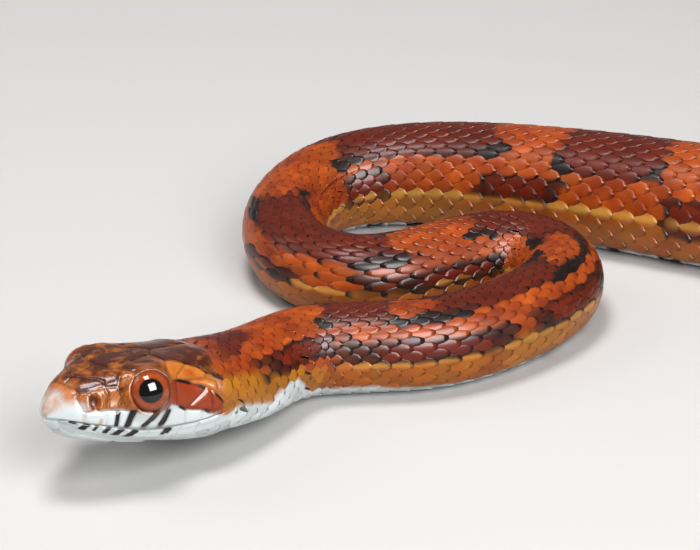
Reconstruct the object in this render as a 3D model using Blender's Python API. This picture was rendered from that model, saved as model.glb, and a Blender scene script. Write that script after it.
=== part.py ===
"""A corn snake, Pantherophis guttatus, about 0.72 m long, lying still with its head raised a little.

The body is one tube that follows a line along the floor. Every cross-section comes from a few
curves of size against distance from the snout, so the head, neck, trunk and tail share one rule.
The tube is parted into lengths that meet face to face with a thin gap.
Sizes in the tables are millimetres. Blender's meshes are metres.
"""

import math

import bmesh
import bpy
import numpy as np
from mathutils import Vector

MM = 0.001

# Driving sizes of the animal
TOTAL_LENGTH = 720.0
HEAD_END = 22.0
GAP = 0.3
SNOUT_ROUNDING = 2.8
EYE_RADIUS = 2.1
EYE_FROM_SNOUT = 7.8
EYE_HEIGHT = 3.05
EYE_FLANK = 0.94
EYE_SINK = 0.53
NOSTRIL_HALF_WIDTH = 0.5
NOSTRIL_DEPTH = 0.38
NOSTRIL_FROM_SNOUT = 3.0
NOSTRIL_HEIGHT = 1.85
NOSTRIL_FLANK = 0.97
MOUTH_CORNER = 17.2
CHIN_ROUNDING = 1.8
CHIN_START = 0.5
LIP_TURN = math.radians(9)
JAW_INSET = 0.95

# Where the snout tip lies before the whole is centred, and the steps that the line is worked out in
SNOUT_X = -27.0
SNOUT_Y = -35.4
STEP = 0.25
SLOPE_STEP = 0.5

# Way of the line: distance from the snout, heading in degrees. The first loops are the photographed ones.
HEADINGS = (
    (0, 42), (20, 42), (25, 50), (30, 34), (34, 6), (39, 5), (44, 21), (49, 36),
    (53.5, 45), (58, 57), (62, 82), (66.5, 120), (71, 172), (75, 203), (78.5, 209), (82, 207),
    (85.5, 192), (89.5, 157), (93.5, 130), (97.5, 107), (102.5, 87), (107.5, 66), (112, 42), (116.5, 18),
    (121, 1), (126, -10), (132, -16), (139, -20), (148, -23), (157, -25), (175, -30), (195, -26),
)

# The resting coil that the rest of the body lies in: an oval spiral that closes inwards
COIL_FROM = 195.0
COIL_RADIUS = 57.0
COIL_CLOSING = 17.5
COIL_OVAL = 0.2
COIL_OVAL_HEADING = math.radians(20)
COIL_EASE = 15.0

# Cross-section: distance from the snout, size
HALF_WIDTH = (
    (0, 1.8), (2, 2.85), (4, 3.8), (6, 4.65), (8, 5.1), (11, 5.35), (14, 5.9), (16.5, 6.3),
    (18.5, 6.3), (21, 5.8), (25, 5.0), (28, 4.55), (34, 4.5), (60, 4.5), (96, 4.4), (106, 4.6),
    (116, 5.2), (126, 5.7), (140, 6.15), (155, 6.5), (200, 7.2), (330, 7.6), (450, 7.0), (540, 5.8),
    (600, 4.6), (620, 4.1), (660, 2.8), (700, 1.2), (720, 0.35),
)
TOP = (
    (0, 2.5), (2, 3.35), (4, 4.25), (6, 4.8), (8, 5.15), (11, 5.6), (15, 5.75), (19, 5.5),
    (23, 5.05), (28, 4.6), (34, 4.35), (60, 4.3), (96, 4.25), (106, 4.45), (116, 5.0), (126, 5.5),
    (140, 5.9), (155, 6.2), (200, 6.8), (330, 7.1), (450, 6.5), (540, 5.5), (600, 4.4), (620, 3.9),
    (660, 2.7), (700, 1.15), (720, 0.35),
)
BOTTOM = (
    (0, 1.2), (2, 1.6), (5, 1.95), (9, 2.25), (13, 2.5), (17, 2.8), (21, 3.25), (25, 3.7),
    (29, 4.0), (34, 4.15), (60, 4.15), (96, 4.1), (106, 4.3), (116, 4.8), (126, 5.2), (140, 5.6),
    (155, 5.9), (200, 6.5), (330, 6.7), (450, 6.2), (540, 5.2), (600, 4.2), (620, 3.7), (660, 2.6),
    (700, 1.1), (720, 0.35),
)
RAISED_AXIS = ((0, 8.1), (8, 5.95), (16, 4.0), (19, 3.8), (23, 3.85), (28, 4.05), (34, 4.15))
RAISED_END = 34.0
LEVELLING = 6.0
MOUTH_LINE = ((0, 0.35), (3, 0.05), (8, -0.4), (12, 0.0), (15, 0.7), (17, 1.15), (22, 0.0))
SQUARENESS_TOP = ((0, 2.2), (3, 2.7), (6, 4.6), (8, 6.0), (10, 4.4), (14, 2.8), (20, 2.3), (26, 2.0))
SQUARENESS_BELOW = ((0, 2.2), (5, 2.4), (16, 2.4), (24, 2.2), (30, 2.0))
BELLY_FLATNESS = ((0, 1.0), (20, 1.0), (32, 1.16))
ROLL = ((0, 7), (18, 7), (32, 0))
LOWER_INSET = ((0, JAW_INSET), (15, JAW_INSET), (21, 1.0))

# Soft forms of the head: distance, angle from the crown, reach along, reach round, height as a share
HEAD_FORMS = (
    (8.0, 0.62, 2.2, 0.28, 0.07),
    (4.7, 1.20, 1.5, 0.30, -0.07),
    (11.8, 1.25, 1.4, 0.30, -0.03),
    (15.5, 1.15, 2.2, 0.45, 0.03),
)

# Lengths of the body, each one node: name and where it ends
LENGTHS = (
    ("neck", 46), ("body_01", 67), ("body_02", 88), ("body_03", 110), ("body_04", 140), ("body_05", 185),
    ("body_06", 235), ("body_07", 285), ("body_08", 335), ("body_09", 385), ("body_10", 435), ("body_11", 485),
    ("body_12", 532), ("body_13", 575), ("body_14", 612), ("tail_base", 650), ("tail_middle", 686),
    ("tail_tip", TOTAL_LENGTH),
)

HEAD_SIDES = 40
HEAD_RINGS = 34
HEAD_RING_CROWDING = 1.5
BODY_SIDES = 18
BALL_SIDES = 20
BALL_RINGS = 12
SHARP_EDGE = math.radians(50)
BEND_RING_SPACING = 2.4
COIL_RING_SPACING = 4.6
BELLY_EDGE = math.acos(-1 / BELLY_FLATNESS[-1][1])

SKIN_ORANGE = (0.55, 0.13, 0.03)
JAW_CREAM = (0.75, 0.70, 0.60)
EYE_COPPER = (0.22, 0.05, 0.01)


def size_curve(knots):
    """A smooth curve through the knots that never overshoots them."""
    at = np.array([k[0] for k in knots], float)
    value = np.array([k[1] for k in knots], float)
    width = np.diff(at)
    rise = np.diff(value) / width
    slope = np.zeros(len(at))
    for i in range(1, len(at) - 1):
        if rise[i - 1] * rise[i] > 0:
            before, after = 2 * width[i] + width[i - 1], width[i] + 2 * width[i - 1]
            slope[i] = (before + after) / (before / rise[i - 1] + after / rise[i])
    slope[0], slope[-1] = rise[0], rise[-1]

    def curve(distance):
        d = np.clip(np.asarray(distance, float), at[0], at[-1])
        i = np.clip(np.searchsorted(at, d, side="right") - 1, 0, len(at) - 2)
        t = (d - at[i]) / width[i]
        return (
            (2 * t**3 - 3 * t**2 + 1) * value[i] + (t**3 - 2 * t**2 + t) * width[i] * slope[i]
            + (3 * t**2 - 2 * t**3) * value[i + 1] + (t**3 - t**2) * width[i] * slope[i + 1]
        )

    return curve


half_width = size_curve(HALF_WIDTH)
top_height = size_curve(TOP)
bottom_depth = size_curve(BOTTOM)
raised_axis = size_curve(RAISED_AXIS)
mouth_line = size_curve(MOUTH_LINE)
squareness_top = size_curve(SQUARENESS_TOP)
squareness_below = size_curve(SQUARENESS_BELOW)
belly_flatness = size_curve(BELLY_FLATNESS)
roll_angle = size_curve(ROLL)
lower_inset = size_curve(LOWER_INSET)


def body_line():
    """Distance, x, y and heading along the floor, from the snout to the tip of the tail."""
    distance = np.arange(0, TOTAL_LENGTH + STEP, STEP)
    heading = np.radians(size_curve(HEADINGS)(distance))
    coil_start = int(COIL_FROM / STEP)
    for i in range(coil_start + 1, len(distance)):
        run = distance[i] - COIL_FROM
        radius = math.sqrt(COIL_RADIUS**2 - COIL_CLOSING * run / math.pi)
        radius *= 1 + COIL_OVAL * math.cos(2 * (heading[i - 1] - COIL_OVAL_HEADING))
        heading[i] = heading[i - 1] + STEP / radius * min(1, run / COIL_EASE)
    middle = (heading[1:] + heading[:-1]) / 2
    x = SNOUT_X + np.concatenate([[0], np.cumsum(np.cos(middle) * STEP)])
    y = SNOUT_Y + np.concatenate([[0], np.cumsum(np.sin(middle) * STEP)])
    return distance, x, y, heading


LINE = body_line()


def axis_height(s):
    """Height of the section's axis: the raised head comes down to a body that lies on the floor."""
    return np.where(s < RAISED_END, raised_axis(s), bottom_depth(s))


def frames(s):
    """Place, left-hand direction, up and backward direction of the body at each distance s."""
    distance, x, y, heading = LINE
    h = np.interp(s, distance, heading)
    here = np.stack([np.interp(s, distance, x), np.interp(s, distance, y), axis_height(s)], -1)
    before = np.maximum(s - SLOPE_STEP, 0)
    after = s + SLOPE_STEP
    slope = (axis_height(after) - axis_height(before)) / (after - before)
    slope *= np.clip((RAISED_END - s) / LEVELLING, 0, 1)
    back = np.stack([np.cos(h), np.sin(h), slope], -1)
    back /= np.linalg.norm(back, axis=-1, keepdims=True)
    up = np.array([0, 0, 1.0]) - back * back[..., 2:3]
    up /= np.linalg.norm(up, axis=-1, keepdims=True)
    left = np.cross(back, up)
    roll = np.radians(roll_angle(s))[..., None]
    return here, left * np.cos(roll) + up * np.sin(roll), up * np.cos(roll) - left * np.sin(roll), back


def snout_closing(s):
    """From 0 at the snout's tip to 1 where the rounding ends."""
    return np.sqrt(np.clip(1 - (1 - np.clip(s / SNOUT_ROUNDING, 0, 1)) ** 2, 0, 1))


def section(s, angle):
    """Sideways and upward reach of the skin at an angle from the crown, positive to the left."""
    sideways, upward = np.sin(angle), np.cos(angle)
    line = mouth_line(s) * snout_closing(s)
    upper = upward >= 0
    power = 2 / np.where(upper, squareness_top(s), squareness_below(s))
    chin_closing = CHIN_START + (1 - CHIN_START) * np.clip(s / CHIN_ROUNDING, 0, 1)
    lower_closing = snout_closing(s) * chin_closing
    below_lip = np.clip((np.abs(angle) - math.pi / 2) / LIP_TURN, 0, 1)
    width = half_width(s) * snout_closing(s) * (1 + below_lip * (chin_closing * lower_inset(s) - 1))
    across = width * np.sign(sideways) * np.abs(sideways) ** power
    rise = (top_height(s) * snout_closing(s) - line) * np.abs(upward) ** power
    drop = (bottom_depth(s) * lower_closing + line) * np.minimum(1, belly_flatness(s) * np.abs(upward) ** power)
    height = np.where(upper, rise, -drop)
    swell = np.ones_like(across)
    for at, round_at, along, around, share in HEAD_FORMS:
        swell += share * np.exp(-(((s - at) / along) ** 2) - ((np.abs(angle) - round_at) / around) ** 2)
    return across * swell, line + height * swell


def skin_point(s, angle):
    """A point of the skin, in millimetres."""
    here, left, up, _ = frames(s)
    across, height = section(s, angle)
    return here + left * across[..., None] + up * height[..., None]


def ring(s, angles):
    return skin_point(np.full(len(angles), float(s)), angles)


def head_angles():
    return np.linspace(-math.pi, math.pi, HEAD_SIDES, endpoint=False)


def body_angles():
    """Even steps from one edge of the belly over the back to the other, and the middle of the belly."""
    over = np.linspace(-BELLY_EDGE, BELLY_EDGE, BODY_SIDES - 1)
    return np.append(over, math.pi)


def tube(name, rings, pole=None):
    """A closed mesh object from rings of points, with a pole in front of the first ring if there is one."""
    mesh = bmesh.new()
    loops = [[mesh.verts.new(Vector(p) * MM) for p in points] for points in rings]
    count = len(loops[0])
    for near, far in zip(loops, loops[1:]):
        for i in range(count):
            j = (i + 1) % count
            mesh.faces.new((near[i], near[j], far[j], far[i]))
    if pole is None:
        mesh.faces.new(loops[0][::-1])
    else:
        tip = mesh.verts.new(Vector(pole) * MM)
        for i in range(count):
            mesh.faces.new((tip, loops[0][(i + 1) % count], loops[0][i]))
    mesh.faces.new(loops[-1])
    return mesh_object(name, mesh)


def mesh_object(name, mesh):
    """Links a bmesh as an object, with its faces pointing out."""
    bmesh.ops.recalc_face_normals(mesh, faces=mesh.faces)
    data = bpy.data.meshes.new(name)
    mesh.to_mesh(data)
    mesh.free()
    node = bpy.data.objects.new(name, data)
    bpy.context.scene.collection.objects.link(node)
    return node


def ball(name, centre, radii):
    """A closed ball or egg at a centre given in millimetres."""
    mesh = bmesh.new()
    bmesh.ops.create_uvsphere(mesh, u_segments=BALL_SIDES, v_segments=BALL_RINGS, radius=1)
    bmesh.ops.scale(mesh, vec=Vector(radii) * MM, verts=mesh.verts)
    bmesh.ops.translate(mesh, vec=Vector(centre) * MM, verts=mesh.verts)
    return mesh_object(name, mesh)


def cutter(node):
    node.hide_render = True
    node.display_type = "WIRE"
    return node


def cut(node, tool, operation="DIFFERENCE"):
    modifier = node.modifiers.new(f"{operation} {tool.name}", "BOOLEAN")
    modifier.operation = operation
    modifier.solver = "EXACT"
    modifier.object = tool


def head_place(s, across, height):
    """A point in the head's own straight frame, taken at the eye and carried along it."""
    at = np.array(EYE_FROM_SNOUT)
    here, left, up, back = (part.reshape(3) for part in frames(at))
    return here + back * (s - EYE_FROM_SNOUT) + left * across + up * height


def whole_head(name):
    """Head and jaw as one closed form, from the snout to where the neck begins."""
    share = np.linspace(0, 1, HEAD_RINGS + 1)[1:]
    distances = (HEAD_END - GAP / 2) * share**HEAD_RING_CROWDING
    rings = [ring(s, head_angles()) for s in distances]
    pole = head_place(0.0, 0.0, 0.0)
    return tube(name, rings, pole)


def jaw_block(name, gap):
    """All that lies under the mouth line and in front of its corner, less a gap."""
    reach_across, reach_down, ahead, steps = 9.0, 9.0, 3.0, 10
    rings = []
    end = MOUTH_CORNER - gap
    for s in (-ahead, *np.linspace(0.0, end, steps)):
        line = float(mouth_line(max(s, 0.0))) - gap
        rings.append([
            head_place(s, reach_across, line), head_place(s, -reach_across, line),
            head_place(s, -reach_across, -reach_down), head_place(s, reach_across, -reach_down),
        ])
    return tube(name, rings)


def eye_centre(side):
    surface = half_width(np.array(EYE_FROM_SNOUT)) * EYE_FLANK
    return head_place(EYE_FROM_SNOUT, side * (float(surface) - EYE_SINK), EYE_HEIGHT)


def nostril_centre(side):
    across = float(half_width(np.array(NOSTRIL_FROM_SNOUT)) * snout_closing(np.array(NOSTRIL_FROM_SNOUT)))
    return head_place(NOSTRIL_FROM_SNOUT, side * across * NOSTRIL_FLANK, NOSTRIL_HEIGHT)


def material(name, colour, roughness):
    made = bpy.data.materials.new(name)
    made.use_nodes = True
    shader = made.node_tree.nodes["Principled BSDF"]
    shader.inputs["Base Color"].default_value = (*colour, 1)
    shader.inputs["Roughness"].default_value = roughness
    shader.inputs["Metallic"].default_value = 0.0
    return made


def make_head():
    """Head, lower jaw and both eyes, parted by thin cuts."""
    head, jaw = whole_head("head"), whole_head("lower_jaw")
    cut(head, cutter(jaw_block("under_the_mouth", 0.0)))
    cut(jaw, cutter(jaw_block("jaw_room", GAP)), "INTERSECT")
    eyes = []
    for side, word in ((1, "left"), (-1, "right")):
        room = EYE_RADIUS + GAP
        cut(head, cutter(ball(f"socket_{word}", eye_centre(side), (room, room, room))))
        pit = (NOSTRIL_HALF_WIDTH, NOSTRIL_HALF_WIDTH, NOSTRIL_DEPTH)
        cut(head, cutter(ball(f"nostril_{word}", nostril_centre(side), pit)))
        eyes.append(ball(f"eye_{word}", eye_centre(side), (EYE_RADIUS,) * 3))
    return head, jaw, eyes


def make_lengths():
    """Neck, body and tail, each length parted from the next by a thin gap."""
    nodes = []
    start = HEAD_END
    for name, end in LENGTHS:
        spacing = COIL_RING_SPACING if start >= COIL_FROM else BEND_RING_SPACING
        last = end if end == TOTAL_LENGTH else end - GAP / 2
        steps = max(4, round((end - start) / spacing))
        rings = [ring(s, body_angles()) for s in np.linspace(start + GAP / 2, last, steps + 1)]
        nodes.append(tube(name, rings))
        start = end
    return nodes


def centre_over_origin():
    """Moves every mesh so that the snake's box is centred on the origin, with its belly at floor level."""
    bpy.context.view_layer.update()
    shown = [o for o in bpy.data.objects if not o.hide_render]
    corners = np.array([v.co for o in shown for v in o.data.vertices])
    low, high = corners.min(0), corners.max(0)
    shift = Vector((-(low[0] + high[0]) / 2, -(low[1] + high[1]) / 2, 0.0))
    for o in bpy.data.objects:
        centre = Vector(np.array([v.co for v in o.data.vertices]).mean(0))
        o.data.transform(o.matrix_world.Translation(-centre))
        o.location = centre + shift
    print("shift in mm:", [round(c / MM, 3) for c in shift])


def main():
    for old in list(bpy.data.objects):
        bpy.data.objects.remove(old)
    skin = material("snake_skin", SKIN_ORANGE, 0.35)
    cream = material("jaw_skin", JAW_CREAM, 0.35)
    copper = material("eye", EYE_COPPER, 0.05)
    head, jaw, eyes = make_head()
    for node in [head, *make_lengths()]:
        node.data.materials.append(skin)
    jaw.data.materials.append(cream)
    for node in eyes:
        node.data.materials.append(copper)
    for node in bpy.data.objects:
        node.data.shade_smooth()
        node.data.set_sharp_from_angle(angle=SHARP_EDGE)
    centre_over_origin()


main()
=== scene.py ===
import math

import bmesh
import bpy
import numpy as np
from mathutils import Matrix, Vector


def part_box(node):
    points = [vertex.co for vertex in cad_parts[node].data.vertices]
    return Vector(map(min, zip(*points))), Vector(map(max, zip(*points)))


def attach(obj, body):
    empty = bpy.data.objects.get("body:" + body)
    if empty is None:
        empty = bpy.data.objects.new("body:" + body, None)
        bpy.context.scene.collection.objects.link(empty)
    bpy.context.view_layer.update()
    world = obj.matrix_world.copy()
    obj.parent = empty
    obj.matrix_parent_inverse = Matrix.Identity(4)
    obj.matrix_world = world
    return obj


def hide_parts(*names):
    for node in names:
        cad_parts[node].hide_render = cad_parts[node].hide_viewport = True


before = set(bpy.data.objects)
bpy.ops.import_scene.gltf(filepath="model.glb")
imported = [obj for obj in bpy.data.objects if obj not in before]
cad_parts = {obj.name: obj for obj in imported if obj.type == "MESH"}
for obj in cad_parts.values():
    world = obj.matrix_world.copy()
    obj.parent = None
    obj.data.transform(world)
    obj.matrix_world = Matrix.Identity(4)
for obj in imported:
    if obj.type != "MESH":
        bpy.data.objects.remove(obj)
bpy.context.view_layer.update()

# %% [markdown]
# # A corn snake, still and life-size
# The real animal is a young corn snake, 0.72 m long, lying with its front part in two loops.
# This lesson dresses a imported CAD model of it: one skin from snout to tail, a coat of overlapping
# scales, plates on the head, and two glossy eyes. Everything is worked out from a few curves of
# size against distance along the body, the same ones that the solids were made from, so that the
# skin fits the solids from any side.

MM = 0.001

# %% [markdown]
# ## The body's line and sections
# A snake is a tube along a line. The line could be a Bezier curve with handles set by hand. Here it
# is a heading for each distance from the snout, as a snake grows and bends by lengths: the distance
# along the body then stays true, which the scale rows and the markings need.
# Sizes in these tables are millimetres and degrees.

# %% Driving sizes
TOTAL_LENGTH = 720.0
SNOUT_ROUNDING = 2.8
EYE_RADIUS = 2.1
EYE_FROM_SNOUT = 7.8
EYE_HEIGHT = 3.05
EYE_FLANK = 0.94
EYE_SINK = 0.53
NOSTRIL_FROM_SNOUT = 3.0
NOSTRIL_GIRTH = 0.66
MOUTH_CORNER = 17.2
CHIN_ROUNDING = 1.8
CHIN_START = 0.5
LIP_TURN = math.radians(9)
SNOUT_X = -27.0
SNOUT_Y = -35.4
STEP = 0.25
HEADINGS = (
    (0, 42), (20, 42), (25, 50), (30, 34), (34, 6), (39, 5), (44, 21), (49, 36),
    (53.5, 45), (58, 57), (62, 82), (66.5, 120), (71, 172), (75, 203), (78.5, 209), (82, 207),
    (85.5, 192), (89.5, 157), (93.5, 130), (97.5, 107), (102.5, 87), (107.5, 66), (112, 42), (116.5, 18),
    (121, 1), (126, -10), (132, -16), (139, -20), (148, -23), (157, -25), (175, -30), (195, -26),
)
COIL_FROM = 195.0
COIL_RADIUS = 57.0
COIL_CLOSING = 17.5
COIL_OVAL = 0.2
COIL_OVAL_HEADING = math.radians(20)
COIL_EASE = 15.0
HALF_WIDTH = (
    (0, 1.8), (2, 2.85), (4, 3.8), (6, 4.65), (8, 5.1), (11, 5.35), (14, 5.9), (16.5, 6.3),
    (18.5, 6.3), (21, 5.8), (25, 5.0), (28, 4.55), (34, 4.5), (60, 4.5), (96, 4.4), (106, 4.6),
    (116, 5.2), (126, 5.7), (140, 6.15), (155, 6.5), (200, 7.2), (330, 7.6), (450, 7.0), (540, 5.8),
    (600, 4.6), (620, 4.1), (660, 2.8), (700, 1.2), (720, 0.35),
)
TOP = (
    (0, 2.5), (2, 3.35), (4, 4.25), (6, 4.8), (8, 5.15), (11, 5.6), (15, 5.75), (19, 5.5),
    (23, 5.05), (28, 4.6), (34, 4.35), (60, 4.3), (96, 4.25), (106, 4.45), (116, 5.0), (126, 5.5),
    (140, 5.9), (155, 6.2), (200, 6.8), (330, 7.1), (450, 6.5), (540, 5.5), (600, 4.4), (620, 3.9),
    (660, 2.7), (700, 1.15), (720, 0.35),
)
BOTTOM = (
    (0, 1.2), (2, 1.6), (5, 1.95), (9, 2.25), (13, 2.5), (17, 2.8), (21, 3.25), (25, 3.7),
    (29, 4.0), (34, 4.15), (60, 4.15), (96, 4.1), (106, 4.3), (116, 4.8), (126, 5.2), (140, 5.6),
    (155, 5.9), (200, 6.5), (330, 6.7), (450, 6.2), (540, 5.2), (600, 4.2), (620, 3.7), (660, 2.6),
    (700, 1.1), (720, 0.35),
)
RAISED_AXIS = ((0, 8.1), (8, 5.95), (16, 4.0), (19, 3.8), (23, 3.85), (28, 4.05), (34, 4.15))
RAISED_END = 34.0
LEVELLING = 6.0
MOUTH_LINE = ((0, 0.35), (3, 0.05), (8, -0.4), (12, 0.0), (15, 0.7), (17, 1.15), (22, 0.0))
SQUARENESS_TOP = ((0, 2.2), (3, 2.7), (6, 4.6), (8, 6.0), (10, 4.4), (14, 2.8), (20, 2.3), (26, 2.0))
SQUARENESS_BELOW = ((0, 2.2), (5, 2.4), (16, 2.4), (24, 2.2), (30, 2.0))
BELLY_FLATNESS = ((0, 1.0), (20, 1.0), (32, 1.16))
ROLL = ((0, 7), (18, 7), (32, 0))
LOWER_INSET = ((0, 0.95), (15, 0.95), (21, 1.0))
HEAD_FORMS = (
    (8.0, 0.62, 2.2, 0.28, 0.07),
    (4.7, 1.20, 1.5, 0.30, -0.07),
    (11.8, 1.25, 1.4, 0.30, -0.03),
    (15.5, 1.15, 2.2, 0.45, 0.03),
)


# %% Size curves and the body's line
def size_curve(knots):
    """A smooth curve through the knots that never overshoots them."""
    at = np.array([k[0] for k in knots], float)
    value = np.array([k[1] for k in knots], float)
    width = np.diff(at)
    rise = np.diff(value) / width
    slope = np.zeros(len(at))
    for i in range(1, len(at) - 1):
        if rise[i - 1] * rise[i] > 0:
            before, after = 2 * width[i] + width[i - 1], width[i] + 2 * width[i - 1]
            slope[i] = (before + after) / (before / rise[i - 1] + after / rise[i])
    slope[0], slope[-1] = rise[0], rise[-1]

    def curve(distance):
        d = np.clip(np.asarray(distance, float), at[0], at[-1])
        i = np.clip(np.searchsorted(at, d, side="right") - 1, 0, len(at) - 2)
        t = (d - at[i]) / width[i]
        return (
            (2 * t**3 - 3 * t**2 + 1) * value[i] + (t**3 - 2 * t**2 + t) * width[i] * slope[i]
            + (3 * t**2 - 2 * t**3) * value[i + 1] + (t**3 - t**2) * width[i] * slope[i + 1]
        )

    return curve


half_width = size_curve(HALF_WIDTH)
top_height = size_curve(TOP)
bottom_depth = size_curve(BOTTOM)
raised_axis = size_curve(RAISED_AXIS)
mouth_line = size_curve(MOUTH_LINE)
squareness_top = size_curve(SQUARENESS_TOP)
squareness_below = size_curve(SQUARENESS_BELOW)
belly_flatness = size_curve(BELLY_FLATNESS)
roll_angle = size_curve(ROLL)
lower_inset = size_curve(LOWER_INSET)


def body_line():
    """Distance, x, y and heading along the floor, from the snout to the tip of the tail."""
    distance = np.arange(0, TOTAL_LENGTH + STEP, STEP)
    heading = np.radians(size_curve(HEADINGS)(distance))
    for i in range(int(COIL_FROM / STEP) + 1, len(distance)):
        run = distance[i] - COIL_FROM
        radius = math.sqrt(COIL_RADIUS**2 - COIL_CLOSING * run / math.pi)
        radius *= 1 + COIL_OVAL * math.cos(2 * (heading[i - 1] - COIL_OVAL_HEADING))
        heading[i] = heading[i - 1] + STEP / radius * min(1, run / COIL_EASE)
    middle = (heading[1:] + heading[:-1]) / 2
    x = SNOUT_X + np.concatenate([[0], np.cumsum(np.cos(middle) * STEP)])
    y = SNOUT_Y + np.concatenate([[0], np.cumsum(np.sin(middle) * STEP)])
    return distance, x, y, heading


LINE = body_line()
print("body line:", len(LINE[0]), "points, ends at", round(LINE[1][-1], 1), round(LINE[2][-1], 1), "mm")


# %% Section frames
def axis_height(s):
    return np.where(s < RAISED_END, raised_axis(s), bottom_depth(s))


def frames(s):
    """Place, left-hand direction, up and backward direction of the body at each distance s."""
    distance, x, y, heading = LINE
    h = np.interp(s, distance, heading)
    here = np.stack([np.interp(s, distance, x), np.interp(s, distance, y), axis_height(s)], -1)
    before = np.maximum(s - 0.5, 0)
    slope = (axis_height(s + 0.5) - axis_height(before)) / (s + 0.5 - before)
    slope *= np.clip((RAISED_END - s) / LEVELLING, 0, 1)
    back = np.stack([np.cos(h), np.sin(h), slope], -1)
    back /= np.linalg.norm(back, axis=-1, keepdims=True)
    up = np.array([0, 0, 1.0]) - back * back[..., 2:3]
    up /= np.linalg.norm(up, axis=-1, keepdims=True)
    left = np.cross(back, up)
    roll = np.radians(roll_angle(s))[..., None]
    return here, left * np.cos(roll) + up * np.sin(roll), up * np.cos(roll) - left * np.sin(roll), back


def snout_closing(s):
    return np.sqrt(np.clip(1 - (1 - np.clip(s / SNOUT_ROUNDING, 0, 1)) ** 2, 0, 1))


def section(s, angle):
    """Sideways and upward reach of the skin at an angle from the crown, positive to the left."""
    sideways, upward = np.sin(angle), np.cos(angle)
    line = mouth_line(s) * snout_closing(s)
    upper = upward >= 0
    power = 2 / np.where(upper, squareness_top(s), squareness_below(s))
    chin_closing = CHIN_START + (1 - CHIN_START) * np.clip(s / CHIN_ROUNDING, 0, 1)
    lower_closing = snout_closing(s) * chin_closing
    below_lip = np.clip((np.abs(angle) - math.pi / 2) / LIP_TURN, 0, 1)
    width = half_width(s) * snout_closing(s) * (1 + below_lip * (chin_closing * lower_inset(s) - 1))
    across = width * np.sign(sideways) * np.abs(sideways) ** power
    rise = (top_height(s) * snout_closing(s) - line) * np.abs(upward) ** power
    roundness = np.minimum(1, belly_flatness(s) * np.abs(upward) ** power)
    drop = (bottom_depth(s) * lower_closing + line) * roundness
    height = np.where(upper, rise, -drop)
    swell = np.ones_like(across)
    for at, round_at, along, around, share in HEAD_FORMS:
        swell += share * np.exp(-(((s - at) / along) ** 2) - ((np.abs(angle) - round_at) / around) ** 2)
    return across * swell, line + height * swell


# %% [markdown]
# ## Girth: a second coordinate that keeps sizes true
# An angle round a flattened section bunches up at the sides, so plates and scales drawn with it
# come out squeezed. Girth is measured along the skin instead: 0 on the crown, 1 at the mouth line
# or the middle of the flank, 2 under the belly, and negative on the snake's right.
# A table holds the angle for each distance and girth, read between its entries.

# %% Girth table
TABLE_S = np.concatenate([np.arange(0.05, 24, 0.2), np.arange(24, TOTAL_LENGTH + 2, 2.0)])
TABLE_G = np.linspace(0, 2, 161)
HALF_TURN_STEPS = 720
FLANK_STEP = HALF_TURN_STEPS // 2


def girth_table():
    """The angle for each distance and girth, and the arcs from the crown to the flank and the belly."""
    angle = np.linspace(0, math.pi, HALF_TURN_STEPS + 1)
    across, height = section(*np.meshgrid(TABLE_S, angle, indexing="ij"))
    arc = np.hypot(np.diff(across, axis=1), np.diff(height, axis=1)).cumsum(1)
    arc = np.concatenate([np.zeros((len(TABLE_S), 1)), arc], 1)
    table = np.empty((len(TABLE_S), len(TABLE_G)))
    for i, row in enumerate(arc):
        side, whole = row[FLANK_STEP], row[-1]
        girth = np.where(row <= side, row / side, 1 + (row - side) / (whole - side))
        table[i] = np.interp(TABLE_G, girth, angle)
    return table, arc[:, FLANK_STEP], arc[:, -1]


ANGLES, SIDE_ARC, HALF_GIRTH = girth_table()


def girth_angle(s, g):
    """The angle at a distance and a girth, both arrays, by reading between the table's entries."""
    s, g = np.broadcast_arrays(np.asarray(s, float), np.asarray(g, float))
    i = np.clip(np.searchsorted(TABLE_S, s) - 1, 0, len(TABLE_S) - 2)
    t = np.clip((s - TABLE_S[i]) / (TABLE_S[i + 1] - TABLE_S[i]), 0, 1)
    folded = np.where(np.abs(g) > 2, 4 - np.abs(g), np.abs(g))
    place = np.clip(folded / 2 * (len(TABLE_G) - 1), 0, len(TABLE_G) - 1.000001)
    j = place.astype(int)
    u = place - j
    low = ANGLES[i, j] * (1 - u) + ANGLES[i, j + 1] * u
    high = ANGLES[i + 1, j] * (1 - u) + ANGLES[i + 1, j + 1] * u
    angle = low * (1 - t) + high * t
    return np.sign(g) * np.where(np.abs(g) > 2, 2 * math.pi - angle, angle)


def place_on(s, g):
    """A point of the snake's outside, in mm, in the line's own frame."""
    s, g = np.broadcast_arrays(np.asarray(s, float), np.asarray(g, float))
    here, left, up, _ = frames(s)
    across, height = section(s, girth_angle(s, g))
    return here + left * across[..., None] + up * height[..., None]


# The nearest distance to the snout's tip where a section has a size, and the steps of a normal
SNOUT_TIP = 0.02
STEP_ALONG = 0.12
STEP_ROUND = 0.012


def outward(s, g):
    """The outside's unit normal there, from small steps along and round the body."""
    s, g = np.broadcast_arrays(np.asarray(s, float), np.asarray(g, float))
    ahead = np.maximum(s - STEP_ALONG, SNOUT_TIP)
    along = place_on(s + STEP_ALONG, g) - place_on(ahead, g)
    round_it = place_on(s, g + STEP_ROUND) - place_on(s, g - STEP_ROUND)
    normal = np.cross(round_it, along)
    return normal / np.maximum(np.linalg.norm(normal, axis=-1, keepdims=True), 1e-9)


print("girth at 50 mm from the snout:", round(2 * float(np.interp(50, TABLE_S, HALF_GIRTH)), 1), "mm")


# %% [markdown]
# ## Laying the line over the solids
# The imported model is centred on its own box, so the line has to move with it. The left eye is in
# both: its place by the formula and its place in the frame give the shift.

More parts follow.
